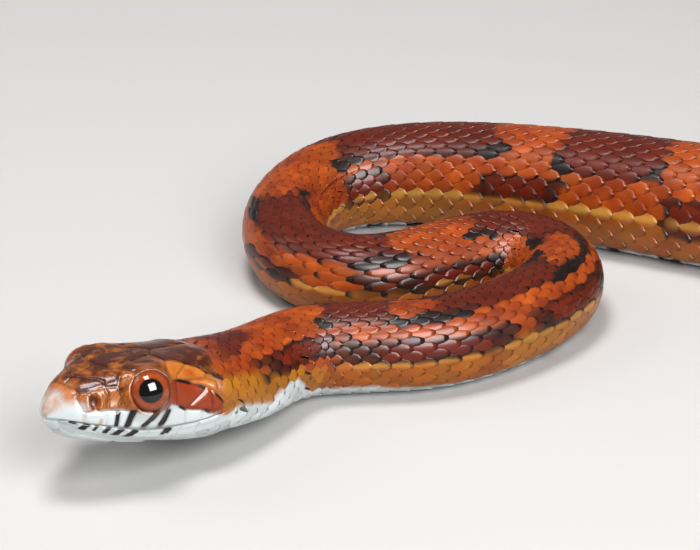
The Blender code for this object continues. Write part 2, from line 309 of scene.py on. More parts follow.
# %% Shift from the line's frame to the solids' frame
def head_place(s, across, height):
    """A point in the head's own straight frame, taken at the eye and carried along it, in mm."""
    here, left, up, back = (part.reshape(3) for part in frames(np.array(EYE_FROM_SNOUT)))
    return here + back * (s - EYE_FROM_SNOUT) + left * across + up * height


def eye_centre(side):
    surface = float(half_width(np.array(EYE_FROM_SNOUT))) * EYE_FLANK
    return head_place(EYE_FROM_SNOUT, side * (surface - EYE_SINK), EYE_HEIGHT)


low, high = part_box("eye_left")
SHIFT = (np.array(low) + np.array(high)) / 2 / MM - eye_centre(1)
SHIFT[2] = 0.0
print("shift in mm:", SHIFT.round(3))


def metres(points):
    return (np.asarray(points) + SHIFT) * MM


# %% [markdown]
# ## Camera, light and floor
# A macro photograph of a small animal is taken from close by with a long lens. The camera could be
# matched with a background image by eye; here its tilt and distance were worked out from the size
# of the animal in the picture, and are plain numbers. The key light is a large soft box above and
# to the right of the camera. Just in front of it, a second box lights gloss only and not the
# colours, so the eye shows one bright square. A small box overhead, a weak fill and a pale room
# keep the shadows open.

# %% Camera
CAMERA_TILT = 26.0
CAMERA_DISTANCE = 330.0
LOOKED_AT = np.array([0.0, 0.0, 5.0])
SENSOR = 36.0
PIXELS_WIDE = 700
PIXELS_PER_MM = 10.2

tilt = math.radians(CAMERA_TILT)
facing = np.array([0, math.cos(tilt), -math.sin(tilt)])
lens = bpy.data.cameras.new("camera")
lens.sensor_fit = "HORIZONTAL"
lens.sensor_width = SENSOR
lens.lens = CAMERA_DISTANCE * PIXELS_PER_MM / PIXELS_WIDE * SENSOR
lens.clip_start = 0.01
camera = bpy.data.objects.new("camera", lens)
camera.location = metres(LOOKED_AT - facing * CAMERA_DISTANCE)
camera.rotation_euler = (math.pi / 2 - tilt, 0, 0)
bpy.context.scene.collection.objects.link(camera)
bpy.context.scene.camera = camera
print("focal length in mm:", round(lens.lens, 1))


# %% Lights and world
WHITE = (1.0, 1.0, 1.0)
WARM = (1.0, 0.97, 0.93)
# Place, target and size in mm, then watts and colour
LIGHTS = {
    "key_light": ((122.0, -221.0, 212.0), (-10, -20, 5), 210, 1.0, WHITE),
    "spark_light": ((117.0, -213.4, 204.2), (-10, -20, 5), 180, 2.2, WHITE),
    "top_light": ((-40.0, -20.0, 330.0), (10, 0, 5), 110, 0.9, WHITE),
    "fill_light": ((-320.0, 60.0, 260.0), (10, 20, 5), 220, 0.4, WARM),
}
ROOM_COLOUR = (0.80, 0.82, 0.85, 1)
ROOM_STRENGTH = 0.27


def softbox(name, place, target, size, watts, colour):
    """A square area light at a place, in mm, turned to a target."""
    data = bpy.data.lights.new(name, "AREA")
    data.shape = "SQUARE"
    data.size = size * MM
    data.energy = watts
    data.color = colour
    light = bpy.data.objects.new(name, data)
    light.location = metres(place)
    light.rotation_euler = Vector(np.array(target, float) - place).to_track_quat("-Z", "Y").to_euler()
    bpy.context.scene.collection.objects.link(light)
    return light


lights = {name: softbox(name, *values) for name, values in LIGHTS.items()}
lights["spark_light"].visible_diffuse = False
world = bpy.data.worlds.new("pale_room")
bpy.context.scene.world = world
world.use_nodes = True
world.node_tree.nodes["Background"].inputs["Color"].default_value = ROOM_COLOUR
world.node_tree.nodes["Background"].inputs["Strength"].default_value = ROOM_STRENGTH
bpy.context.scene.view_settings.view_transform = "Standard"
print("lights:", ", ".join(lights))


# %% [markdown]
# ## Shader maths as Python
# Node trees are easier to read as expressions. One small class wraps a socket and overloads the
# operators: numbers go through Math nodes, and colours are blended through Mix nodes.

# %% The Flow class
class Flow:
    """A value that runs between nodes of one tree."""

    def __init__(self, tree, socket):
        self.tree = tree
        self.socket = socket

    def node(self, kind, settings=None, **inputs):
        """A node: settings first, then values or links by an input's name, or by i and its number."""
        made = self.tree.nodes.new(kind)
        for name, value in (settings or {}).items():
            setattr(made, name, value)
        for name, value in inputs.items():
            self.feed(made.inputs[int(name[1:]) if name[0] == "i" and name[1:].isdigit() else name], value)
        return made

    def feed(self, socket, value):
        if isinstance(value, Flow):
            self.tree.links.new(value.socket, socket)
        else:
            socket.default_value = value

    def wrap(self, socket):
        return Flow(self.tree, socket)

    def math(self, operation, *values):
        made = self.node("ShaderNodeMath", {"operation": operation})
        for socket, value in zip(made.inputs, values):
            self.feed(socket, value)
        return self.wrap(made.outputs[0])

    def __add__(self, other):
        return self.math("ADD", self, other)

    def __radd__(self, other):
        return self.math("ADD", other, self)

    def __sub__(self, other):
        return self.math("SUBTRACT", self, other)

    def __rsub__(self, other):
        return self.math("SUBTRACT", other, self)

    def __mul__(self, other):
        return self.math("MULTIPLY", self, other)

    def __rmul__(self, other):
        return self.math("MULTIPLY", other, self)

    def clamp(self):
        made = self.node("ShaderNodeClamp", i0=self)
        return self.wrap(made.outputs[0])

    def blend(self, mask, other, how="MIX"):
        """This colour turned towards another by a mask."""
        made = self.node("ShaderNodeMix", {"data_type": "RGBA", "blend_type": how}, i0=mask)
        self.feed(made.inputs[6], self)
        self.feed(made.inputs[7], other)
        return self.wrap(made.outputs[2])


def srgb(red, green, blue):
    """A colour named as screens show it, 0 to 255, as the linear values that nodes take."""
    values = [c / 255 for c in (red, green, blue)]
    return tuple(c / 12.92 if c <= 0.04045 else ((c + 0.055) / 1.055) ** 2.4 for c in values) + (1.0,)


def new_material(name):
    """A material with its Principled shader and a Flow to build from."""
    made = bpy.data.materials.new(name)
    made.use_nodes = True
    shader = made.node_tree.nodes["Principled BSDF"]
    return made, shader, Flow(made.node_tree, None)


def attribute(flow, name):
    made = flow.node("ShaderNodeAttribute", {"attribute_name": name, "attribute_type": "GEOMETRY"})
    return flow.wrap(made.outputs["Fac"])


# %% Floor
FLOOR_SIZE = 3.0
FLOOR_COLOUR = (0.50, 0.49, 0.48, 1)
FLOOR_ROUGHNESS = 0.8
floor_mesh = bmesh.new()
bmesh.ops.create_grid(floor_mesh, x_segments=1, y_segments=1, size=FLOOR_SIZE)
floor_data = bpy.data.meshes.new("floor")
floor_mesh.to_mesh(floor_data)
floor_mesh.free()
floor = bpy.data.objects.new("floor", floor_data)
bpy.context.scene.collection.objects.link(floor)
floor_material, shader, flow = new_material("pale_floor")
shader.inputs["Base Color"].default_value = FLOOR_COLOUR
shader.inputs["Roughness"].default_value = FLOOR_ROUGHNESS
floor_data.materials.append(floor_material)
print("floor:", 2 * FLOOR_SIZE, "m across")

# %% [markdown]
# ## Markings
# A corn snake wears a row of dark red saddles with black edges down its back, a row of smaller
# blotches on each flank between them, and a white belly with black blocks. An image texture could
# carry this. A rule is better: each saddle is a rounded box in distance and girth, so the same
# function serves the skin and every scale, and no picture is needed.
# The first saddles are named one by one, the rest follow the species' spacing.

# %% Saddles and blotches
# Start and end in mm, then half width and middle in girth
SADDLES = [
    (31.5, 38.8, 0.36, 0.0), (41.8, 58.0, 0.33, 0.0), (63.2, 75.2, 0.42, 0.0), (83.2, 101.6, 0.48, -0.08),
    (111.5, 131.5, 0.50, 0.0), (137.0, 149.4, 0.60, 0.0), (153.0, 166.5, 0.58, 0.0),
]
# Start and end in mm, then middle and half width in girth
FLANK_BLOTCHES = [
    (22.0, 32.5, 0.66, 0.14), (34.8, 47.8, 0.82, 0.14), (51.5, 61.5, 0.80, 0.16), (73.0, 85.5, 0.90, 0.13),
    (92.0, 97.0, 0.94, 0.08), (110.0, 117.5, 0.86, 0.20), (129.5, 138.0, 0.84, 0.13),
    (150.0, 155.0, 0.95, 0.20),
]
NAMED_SADDLES = len(SADDLES)
BODY_SADDLES = 23
TAIL_SADDLES = 10
VENT = 617.0
SADDLE_SHARE = 0.64
TAIL_STEP = 12.6
TAIL_SHRINK = 0.945
BLOTCH_REACH = 0.75


def following_saddles():
    """The saddles from the first coil to the tail's tip, closer together as the body thins."""
    made = []
    step = (VENT - 3 - SADDLES[-1][1]) / BODY_SADDLES
    for i in range(BODY_SADDLES):
        end = SADDLES[-1][1] + step * (i + 1)
        made.append((end - step * SADDLE_SHARE, end, 0.56 + 0.03 * math.sin(2.4 * i), 0.0))
    start, step = VENT - 1, TAIL_STEP
    for _ in range(TAIL_SADDLES):
        made.append((start + step * 0.36, start + step * 0.95, 0.62, 0.0))
        start += step
        step *= TAIL_SHRINK
    return made


SADDLES += following_saddles()
for first, second in zip(SADDLES[NAMED_SADDLES - 1:], SADDLES[NAMED_SADDLES:]):
    middle = (first[1] + second[0]) / 2
    reach = (second[0] - first[1]) * BLOTCH_REACH
    FLANK_BLOTCHES.append((middle - reach, middle + reach, 0.94, 0.17))
print(len(SADDLES), "saddles,", len(FLANK_BLOTCHES), "flank blotches a side")


# %% Mask helpers
def smooth(low_edge, high_edge, value):
    """0 below the low edge, 1 above the high one, and smooth between."""
    t = np.clip((value - low_edge) / (high_edge - low_edge), 0, 1)
    return t * t * (3 - 2 * t)


def bell(value, middle, width, power=2):
    """1 at the middle, falling away evenly on both sides; a higher power gives a flatter top."""
    return np.exp(-(((value - middle) / width) ** power))


def wave(s, g, seed):
    """A gentle, seeded, uneven value between about -1 and 1 that repeats nowhere along the body."""
    total = np.sin(s * 0.91 + 3.1 * g + seed) + np.sin(s * 2.3 - 4.7 * g + 1.7 * seed)
    return (total + np.sin(s * 0.37 + 9.1 * g + 2.3 * seed)) / 3


CORNER_POWER = 3.2


def rounded_box(s, g, start, end, middle_g, half_g, quarter):
    """How far inside a rounded box a point is, in mm; negative outside. quarter is the arc of girth 1."""
    middle, half = (start + end) / 2, (end - start) / 2
    y = np.abs(g - middle_g) / half_g
    half = half * (0.86 + 0.30 * np.minimum(y, 1.2) ** 2)
    x = np.abs(s - middle) / half
    reach = np.minimum(half, half_g * quarter)
    return (1 - (x**CORNER_POWER + y**CORNER_POWER) ** (1 / CORNER_POWER)) * reach


# %% Markings as masks
spear_half = size_curve(((14, 0.50), (16, 0.52), (19, 0.42), (21, 0.30), (23, 0.10), (25, -0.4)))
pale_edge = size_curve((
    (14, 0.97), (16, 1.04), (18, 1.08), (20.5, 1.05), (22.5, 1.0), (24.5, 0.97), (26.2, 1.12),
    (28, 1.36), (40, 1.44), (50, 1.58), (720, 1.56),
))
mustard_edge = size_curve(((14, 0.60), (16, 0.66), (20, 0.66), (24, 0.76), (28, 0.95)))
OVAL_AT, OVAL_HALF, OVAL_GIRTH = 18.0, 1.7, 0.13
EDGE_WANDER = 0.28
LINE_GIRTH, LINE_WIDTH = 1.0, 0.03
STREAK_GIRTH, STREAK_WIDTH = 1.07, 0.022
CHECK_PITCH = 5.6
# Strength, girths between which a patch sets in, and distances between which it starts and stops
MUSTARD_PATCHES = ((0.85, 0.92, 1.02, 104, 112, 134, 124), (0.9, 0.84, 0.96, 46, 49, 62, 58))


def marked(s, boxes, girth, quarter, jitter):
    """How far inside the nearest of several rounded boxes each point is, in mm, and how near a corner."""
    inside = np.full(s.shape, -9.0)
    corner = np.zeros(s.shape)
    for start, end, half_g, middle_g in boxes:
        near = (s > start - 6) & (s < end + 6)
        d = rounded_box(s[near], girth[near], start, end, middle_g, half_g, quarter[near]) + jitter[near]
        middle, half = (start + end) / 2, (end - start) / 2
        along = np.clip(np.abs(s[near] - middle) / half, 0, 1.2)
        c = along * np.clip(np.abs(girth[near] - middle_g) / half_g, 0, 1.2)
        better = d > inside[near]
        inside[near] = np.where(better, d, inside[near])
        corner[near] = np.where(better, c, corner[near])
    return inside, corner


def markings(s, g):
    """Masks of the coat at distances and girths: saddle, blotch, black, gold, pale and cream."""
    quarter = np.interp(s, TABLE_S, SIDE_ARC)
    side = np.abs(g)
    jitter = EDGE_WANDER * wave(s, g, 0.4)
    inside, corner = marked(s, SADDLES, g, quarter, jitter)
    spear = (spear_half(s) - side) * quarter + jitter
    spear = np.where(s < 26, np.minimum(spear, (s - 14) * 2), -9.0)
    oval = 1 - ((s - OVAL_AT) / OVAL_HALF) ** 2 - ((g - 0.02) / OVAL_GIRTH) ** 2
    spear = np.where(oval > -1.5, np.minimum(spear, -oval * 0.8), spear)
    inside = np.maximum(inside, spear)
    saddle = smooth(-0.25, 0.1, inside)
    edge_width = 0.18 + 0.60 * corner
    black = smooth(-edge_width - 0.35, -edge_width + 0.15, -np.abs(inside - 0.15))
    black *= 0.62 + 0.38 * smooth(0.45, 0.8, corner)
    boxes = [(start, end, half_g, middle_g) for start, end, middle_g, half_g in FLANK_BLOTCHES]
    blotch_in, _ = marked(s, boxes, side, quarter, 0.8 * jitter)
    blotch = smooth(-0.25, 0.1, blotch_in)
    blotch_edge = smooth(-0.55, -0.15, -np.abs(blotch_in))
    streak = smooth(0.1, 0.6, np.sin(s * 2.9 + 2.0 * wave(s, g, 3.0)))
    streak *= bell(side, STREAK_GIRTH, STREAK_WIDTH)
    streak *= smooth(34, 38, s)
    belly_turn = pale_edge(s) + 0.02 * wave(s, g, 5.0)
    pale = smooth(belly_turn - 0.03, belly_turn + 0.02, side)
    check_s = s / CHECK_PITCH + 0.5 * (g > 0)
    checks = smooth(0.15, 0.4, np.sin(2 * math.pi * check_s)) * smooth(1.56, 1.60, side)
    checks *= smooth(1.92, 1.86, side)
    checks *= smooth(40, 60, s)
    line = bell(side, LINE_GIRTH, LINE_WIDTH) * smooth(32, 36, s) * (0.75 + 0.25 * wave(s, g, 1.1))
    low_flank = smooth(1.02, 1.10, side) * (0.50 + 0.25 * wave(s, g, 2.6))
    for strength, g0, g1, s0, s1, s2, s3 in MUSTARD_PATCHES:
        patch = strength * smooth(g0, g1, side) * smooth(s0, s1, s) * smooth(s2, s3, s)
        low_flank = np.maximum(low_flank, patch)
    mustard = smooth(-0.03, 0.05, side - mustard_edge(s)) * smooth(34, 27, s)
    gold = np.maximum(np.maximum(line, low_flank), mustard) * (1 - pale)
    black = np.maximum(np.maximum(black, 0.8 * blotch_edge), np.maximum(streak, checks * pale))
    return {
        "saddle": saddle, "blotch": blotch * (1 - pale), "black": black * (s > 15), "gold": gold,
        "pale": pale, "cream": line * (1 - pale) * (1 - black),
    }


# %% [markdown]
# ## Head plates
# The head of a corn snake carries large, named plates with thin grooves between them. Each is
# drawn here as an outline of a few corners in distance and girth, on the left side or over the
# middle; the right side mirrors it. Carving the plates as separate pieces would leave gaps at the
# joints, so they are relief in the skin itself.

# %% Plate outlines
MIDDLE_PLATES = {
    "rostral": [
        (0.0, -1.0), (2.1, -1.0), (2.1, -0.80), (1.85, -0.65), (1.8, -0.50), (1.95, -0.42), (1.8, -0.15),
        (1.75, 0.0), (1.8, 0.15), (1.95, 0.42), (1.8, 0.50), (1.85, 0.65), (2.1, 0.80), (2.1, 1.0),
        (0.0, 1.0),
    ],
    "frontal": [
        (5.4, -0.16), (5.2, 0.0), (5.4, 0.16), (7.8, 0.17), (9.9, 0.14), (11.0, 0.0), (9.9, -0.14),
        (7.8, -0.17),
    ],
    "mental": [(0.0, -1.2), (0.6, -1.08), (1.0, -1.5), (1.3, 2.0), (1.0, 1.5), (0.6, 1.08), (0.0, 1.2)],
}
SIDE_PLATES = {
    "internasal": [
        (1.75, 0.0), (1.8, 0.15), (1.95, 0.42), (2.6, 0.46), (3.9, 0.49), (4.0, 0.40), (3.6, 0.30),
        (2.95, 0.17), (2.65, 0.0),
    ],
    "prefrontal": [
        (2.65, 0.0), (2.95, 0.17), (3.6, 0.30), (4.0, 0.40), (3.9, 0.49), (4.9, 0.52), (5.2, 0.42),
        (5.9, 0.33), (5.4, 0.16), (5.2, 0.0),
    ],
    "fore_nasal": [
        (1.95, 0.42), (2.6, 0.46), (2.8, 0.62), (2.75, 0.80), (2.1, 0.80), (1.85, 0.65), (1.8, 0.50),
    ],
    "rear_nasal": [(2.6, 0.46), (3.9, 0.49), (4.1, 0.60), (4.05, 0.80), (2.75, 0.80), (2.8, 0.62)],
    "loreal": [(3.9, 0.49), (4.9, 0.52), (5.1, 0.66), (5.0, 0.80), (4.05, 0.80), (4.1, 0.60)],
    "preocular": [
        (4.9, 0.52), (5.2, 0.42), (5.9, 0.33), (6.4, 0.40), (5.95, 0.62), (6.3, 0.80), (5.0, 0.80),
        (5.1, 0.66),
    ],
    "supraocular": [
        (5.4, 0.16), (5.9, 0.33), (6.4, 0.40), (7.8, 0.43), (9.3, 0.44), (10.0, 0.34), (9.9, 0.14),
        (7.8, 0.17),
    ],
    "upper_postocular": [
        (9.3, 0.44), (10.0, 0.34), (12.1, 0.41), (11.5, 0.45), (10.5, 0.52), (10.2, 0.57), (9.7, 0.57),
    ],
    "lower_postocular": [(9.7, 0.57), (10.2, 0.57), (10.4, 0.80), (9.8, 0.80), (9.4, 0.82)],
    "parietal": [
        (9.9, 0.14), (10.0, 0.34), (12.1, 0.41), (14.0, 0.50), (16.0, 0.44), (16.8, 0.22), (16.4, 0.0),
        (11.0, 0.0),
    ],
    "fore_temporal_high": [
        (10.2, 0.57), (10.5, 0.52), (11.5, 0.45), (12.1, 0.41), (13.0, 0.45), (14.1, 0.54), (13.6, 0.60),
        (12.0, 0.585),
    ],
    "fore_temporal_middle": [
        (10.2, 0.57), (12.0, 0.585), (13.6, 0.60), (14.8, 0.67), (14.7, 0.78), (13.6, 0.69), (12.0, 0.62),
    ],
    "fore_temporal_low": [(10.2, 0.57), (12.0, 0.62), (13.6, 0.69), (11.4, 0.85), (10.4, 0.80)],
    "rear_temporal_low": [
        (13.6, 0.69), (14.0, 0.72), (14.1, 0.92), (13.4, 0.90), (12.3, 0.86), (11.4, 0.85),
    ],
    "rear_temporal_end": [(14.0, 0.72), (14.7, 0.78), (15.2, 0.88), (14.6, 0.95), (14.1, 0.92)],
    "fore_chin_shield": [(1.3, 2.0), (1.0, 1.55), (2.2, 1.33), (5.4, 1.36), (6.2, 1.62), (6.0, 2.0)],
    "rear_chin_shield": [(6.0, 2.0), (6.2, 1.62), (5.4, 1.36), (8.8, 1.42), (10.2, 1.7), (10.0, 2.0)],
}
# Seams of the upper lip: distance at the mouth line, at the plate's top, and the top's girth
UPPER_LIP_SEAMS = (
    (2.1, 2.1, 0.80), (3.9, 4.05, 0.80), (5.0, 5.15, 0.80), (5.85, 6.3, 0.80), (7.3, 8.2, 0.84),
    (8.95, 9.7, 0.81), (11.5, 11.4, 0.85), (13.05, 13.1, 0.89), (14.3, 14.4, 0.94), (16.6, 16.6, 1.0),
)
LOWER_LIP_SEAMS = (0.9, 1.8, 2.7, 3.6, 4.6, 5.7, 7.8, 9.9, 11.2, 13.0, 15.0, 17.0)


def lip_plates():
    """The plates along both lips, from their seams."""
    plates = {}
    for i, (fore, rear) in enumerate(zip(UPPER_LIP_SEAMS, UPPER_LIP_SEAMS[1:])):
        plates[f"upper_lip_{i + 1}"] = [(fore[0], 1.0), fore[1:], rear[1:], (rear[0], 1.0)]
    for i, (start, end) in enumerate(zip(LOWER_LIP_SEAMS, LOWER_LIP_SEAMS[1:])):
        depth = 1.20 + 0.03 * math.sin(i)
        plates[f"lower_lip_{i + 1}"] = [(start, 1.0), (end, 1.0), (end - 0.2, depth), (start - 0.2, depth)]
    return plates


SIDE_PLATES.update(lip_plates())


def inside_outline(s, g, outline):
    """Which points lie inside a closed outline."""
    result = np.zeros(s.shape, bool)
    for (s0, g0), (s1, g1) in zip(outline, outline[1:] + outline[:1]):
        crosses = (g0 > g) != (g1 > g)
        with np.errstate(divide="ignore", invalid="ignore"):
            at = s0 + (g - g0) / (g1 - g0) * (s1 - s0)
        result ^= crosses & (s < at)
    return result


def outline_samples(outline, spacing=0.08):
    """Points along an outline on the skin, in mm."""
    found = []
    for (s0, g0), (s1, g1) in zip(outline, outline[1:] + outline[:1]):
        ends = place_on(np.array([s0, s1]).clip(SNOUT_TIP), np.array([g0, g1]))
        count = max(2, int(np.linalg.norm(ends[1] - ends[0]) / spacing))
        t = np.linspace(0, 1, count, endpoint=False)
        found.append(place_on(np.maximum(s0 + (s1 - s0) * t, SNOUT_TIP), g0 + (g1 - g0) * t))
    return np.concatenate(found)


# %% Distances to plate borders
BATCH = 4000


def plate_field(s, g, points):
    """For each point: the plate it is on, numbered from 1, and its distance to that plate's border in mm."""
    number = np.zeros(s.shape, int)
    border = np.zeros(s.shape)
    outlines = list(MIDDLE_PLATES.items())
    for side in (1, -1):
        outlines += [(name, [(a, b * side) for a, b in outline]) for name, outline in SIDE_PLATES.items()]
    for index, (name, outline) in enumerate(outlines):
        reach = [a for a, _ in outline]
        near = (s >= min(reach) - 0.1) & (s <= max(reach) + 0.1) & (number == 0)
        if name == "mental":
            chosen = np.flatnonzero(near & (np.abs(g) > 1.0) & (s < 1.0))
        else:
            chosen = np.flatnonzero(near)
            chosen = chosen[inside_outline(s[chosen], g[chosen], outline)]
        if not len(chosen):
            continue
        edge = outline_samples(outline)
        gap = np.empty(len(chosen))
        for start in range(0, len(chosen), BATCH):
            part = points[chosen[start:start + BATCH]]
            gap[start:start + BATCH] = np.sqrt(((part[:, None] - edge[None]) ** 2).sum(-1).min(1))
        number[chosen] = index + 1
        border[chosen] = gap
    return number, border, [name for name, _ in outlines]


# %% [markdown]
# ## The skin
# One closed mesh runs from snout to tail, so that no seam shows between the solids it replaces.
# It is a grid of rings. The head's rings hold many points, for the plates; behind the head each
# ring steps down to half as many, three times over, as scales cover the skin there.

# %% Ring plan
HEAD_AROUND = 336
SNOUT_RINGS = 34
HEAD_RING_STEP = 0.094
FIRST_NECK_RING = 17.75
# Behind the head: where a stretch of rings ends, their spacing, and how often their points are halved
STRETCHES = ((19.5, 0.25, 1), (26.0, 0.5, 2), (712, 0.9, 3))
LAST_RINGS = (714.0, 716.0, 718.0, 719.4)


def ring_plan():
    """Pairs of distance and points around, from the snout to the tail."""
    tip = SNOUT_ROUNDING * (1 - np.cos(np.linspace(0.08, math.pi / 2, SNOUT_RINGS)))
    head = np.arange(2.9, 17.6, HEAD_RING_STEP)
    plan = [(float(s), HEAD_AROUND) for s in np.concatenate([tip, head])]
    s = FIRST_NECK_RING
    for end, step, halvings in STRETCHES:
        points = HEAD_AROUND // 2**halvings
        while s < end:
            plan.append((s, points))
            s += step
    return plan + [(s, points) for s in LAST_RINGS]


PLAN = ring_plan()
print(len(PLAN), "rings,", sum(p for _, p in PLAN), "points")


# %% Relief of the head
LOOKS_FORWARD = 24.0
LOOKS_UP = 0.20
ORBIT = 1.82
ORBIT_FADE = 1.25
BROW_TIGHTNESS = 0.7
EYE_COVER = 0.05
NOSTRIL_REACH = 0.62
NOSTRIL_TALL = 1.5
PLATES_END = 17.0
# Heights and depths of the relief in mm, each with the width over which it fades
PLATE_RISE, PLATE_FADE = 0.10, 0.13
DOME_RISE, DOME_REACH = 0.05, 0.9
SEAM_WIDTH = 0.09
LIP_DEPTH, LIP_WIDTH = 0.16, 0.085
NOSTRIL_DEPTH = 0.45
NOSTRIL_EDGE, NOSTRIL_EDGE_AT, NOSTRIL_EDGE_WIDTH = 0.05, 1.05, 0.28
RING_RISE, RING_OUTSIDE, RING_WIDTH = 0.16, 0.22, 0.20
ORBIT_DEPTH = 0.55


def look_way(side, forward_degrees, upward):
    """A unit vector out of the side of the head, turned forward and up."""
    _, left, up, back = (part.reshape(3) for part in frames(np.array(EYE_FROM_SNOUT)))
    forward = math.radians(forward_degrees)
    look = left * side * math.cos(forward) - back * math.sin(forward) + up * upward
    return look / np.linalg.norm(look)


def socket_frame(side):
    """Centre of an eye and the way its socket opens, in mm and as a unit vector."""
    return eye_centre(side), look_way(side, LOOKS_FORWARD, LOOKS_UP)


def cap_edge():
    """How far ahead of the eye's centre the socket's ring crosses the ball, in mm."""
    return math.sqrt(EYE_RADIUS**2 - ORBIT**2)


def head_relief(s, g, points):
    """Relief over the head in mm, the skin's shift round the eyes, masks, and the plates' names.

    The masks are seam, lip, nostril, orbit and the orbit's rim, with the number of the plate.
    """
    number, border, names = plate_field(s, g, points)
    on_head = smooth(PLATES_END + 0.6, PLATES_END - 0.4, s)
    plate = number > 0
    rise = PLATE_RISE * (1 - bell(border, 0, PLATE_FADE))
    rise += DOME_RISE * np.clip(border / DOME_REACH, 0, 1) ** 0.7
    relief = np.where(plate, rise, 0.0)
    seam = np.where(plate, bell(border, 0, SEAM_WIDTH), 0.6 * on_head)
    quarter = np.interp(s, TABLE_S, SIDE_ARC)
    to_mouth = (np.abs(g) - 1) * quarter
    open_part = smooth(MOUTH_CORNER, MOUTH_CORNER - 0.8, s)
    lip = bell(to_mouth, 0, LIP_WIDTH) * open_part
    relief = relief - LIP_DEPTH * lip
    nostril, orbit, rim = (np.zeros(s.shape) for _ in range(3))
    shift = np.zeros(points.shape)
    for side in (1, -1):
        hole = place_on(np.array(NOSTRIL_FROM_SNOUT), np.array(NOSTRIL_GIRTH * side))
        away = np.linalg.norm(points - hole, axis=-1)
        r = np.hypot(away, NOSTRIL_TALL * np.abs(s - NOSTRIL_FROM_SNOUT))
        nostril = np.maximum(nostril, bell(r, 0, NOSTRIL_REACH, 4))
        relief += NOSTRIL_EDGE * bell(r, NOSTRIL_EDGE_AT, NOSTRIL_EDGE_WIDTH)
        centre, look = socket_frame(side)
        ray = points - centre
        depth = ray @ look
        radial = np.linalg.norm(ray - depth[..., None] * look, axis=-1)
        faces_out = smooth(-0.4, 0.4, depth)
        hollow = smooth(ORBIT + 0.04, ORBIT - 0.08, radial)
        ridge = bell(radial - ORBIT, RING_OUTSIDE, RING_WIDTH)
        above = smooth(0.2, 0.8, ray @ np.array([0, 0, 1.0]) / np.maximum(radial, 0.1))
        level = cap_edge() + RING_RISE * ridge * (1 - 0.8 * above) - ORBIT_DEPTH * hollow
        fade = ORBIT_FADE * (1 - BROW_TIGHTNESS * above)
        pull = smooth(ORBIT + fade, ORBIT + 0.2 * fade, radial) * faces_out
        shift += ((level - depth) * pull)[..., None] * look
        moved = points + shift - centre
        away = np.linalg.norm(moved, axis=-1)
        ahead = moved @ look
        bared = (away < EYE_RADIUS + EYE_COVER) & (radial > ORBIT) & (ahead > cap_edge())
        stretch = (EYE_RADIUS + EYE_COVER) / np.maximum(away, 0.1) - 1
        shift += moved * (stretch * bared)[..., None]
        orbit = np.maximum(orbit, hollow * faces_out)
        # The rim mask also carries the eye ring's pale colour and painted glint into the paint.
        rim = np.maximum(rim, ridge * faces_out)
    relief = relief - NOSTRIL_DEPTH * nostril
    seam = np.maximum(seam * (1 - rim * 0.5), 0)
    return relief * on_head, shift, {
        "seam": seam * on_head * (1 - orbit), "lip": lip, "nostril": nostril, "orbit": orbit,
        "rim": rim, "plate": number,
    }, names


# %% Colours of the head as masks
# Bars over the lips: distances at the lower and upper end, girths there, half width, strength
LIP_BARS = (
    (4.72, 4.85, 0.99, 0.80, 0.20, 0.75), (5.60, 6.05, 0.99, 0.80, 0.29, 1.0),
    (7.15, 8.15, 0.99, 0.82, 0.38, 0.95), (8.80, 9.45, 0.99, 0.83, 0.36, 1.0),
    (1.45, 1.45, 1.07, 1.01, 0.25, 0.9), (2.10, 2.40, 1.17, 1.01, 0.27, 1.0),
    (3.05, 3.20, 1.14, 1.01, 0.18, 0.6), (3.95, 4.20, 1.15, 1.01, 0.22, 0.95),
    (4.80, 5.25, 1.18, 1.01, 0.28, 1.0), (5.90, 6.45, 1.18, 1.01, 0.33, 1.0),
    (9.55, 9.70, 1.12, 1.01, 0.45, 1.0),
)
TAN_BARS = ((2.15, 2.20, 0.97, 0.82, 0.16, 0.45), (3.40, 3.50, 0.99, 0.90, 0.18, 0.9))
# How light each plate is against the crown's brown
PLATE_SHADES = {
    "rostral": 0.95, "internasal": 0.45, "prefrontal": 0.40, "frontal": 0.25, "parietal": 0.18,
    "fore_nasal": 0.85, "rear_nasal": 1.0, "loreal": 0.95, "preocular": 0.95, "supraocular": 0.55,
    "upper_postocular": 0.75, "lower_postocular": 0.6,
}
gold_top = size_curve(((9.3, 0.37), (10.0, 0.335), (12.1, 0.41), (13.8, 0.53), (15.5, 0.66), (17.0, 0.72)))
stripe_top = size_curve(((9.6, 0.57), (10.3, 0.575), (11.7, 0.61), (13.4, 0.69), (14.6, 0.80), (15.3, 0.89)))
stripe_low = size_curve(((9.6, 0.78), (10.6, 0.81), (11.4, 0.85), (13.3, 0.90), (14.3, 0.95), (15.3, 0.90)))
lip_top = size_curve((
    (1.0, 0.30), (1.25, 0.52), (1.5, 0.72), (2.0, 0.81), (3.0, 0.79), (6.0, 0.80), (6.6, 0.84), (9.3, 0.84),
    (9.8, 0.79), (10.5, 0.80), (11.4, 0.86), (12.3, 0.87), (13.5, 0.93), (14.4, 0.98), (16.0, 1.06),
    (18.0, 1.08),
))
# Edges with black dashes: the curve, how far below it they lie, their width, their stretches
DASHED_EDGES = (
    (stripe_top, 0.0, 0.016, ((10.3, 11.9), (12.7, 13.5), (14.3, 15.3))),
    (gold_top, 0.004, 0.014, ((11.9, 12.6), (13.5, 14.2), (14.6, 15.8))),
    (stripe_low, 0.004, 0.016, ((10.6, 11.4), (13.2, 13.8))),
)
EDGE_SOFTNESS = 0.012
EYE_REAR = 9.3
GOLD_SPREADS = 15.3


def under(side, edge):
    """1 below a line of girth and 0 above it, with a soft step."""
    return smooth(-EDGE_SOFTNESS, EDGE_SOFTNESS, side - edge)


def over(side, edge):
    return smooth(EDGE_SOFTNESS, -EDGE_SOFTNESS, side - edge)


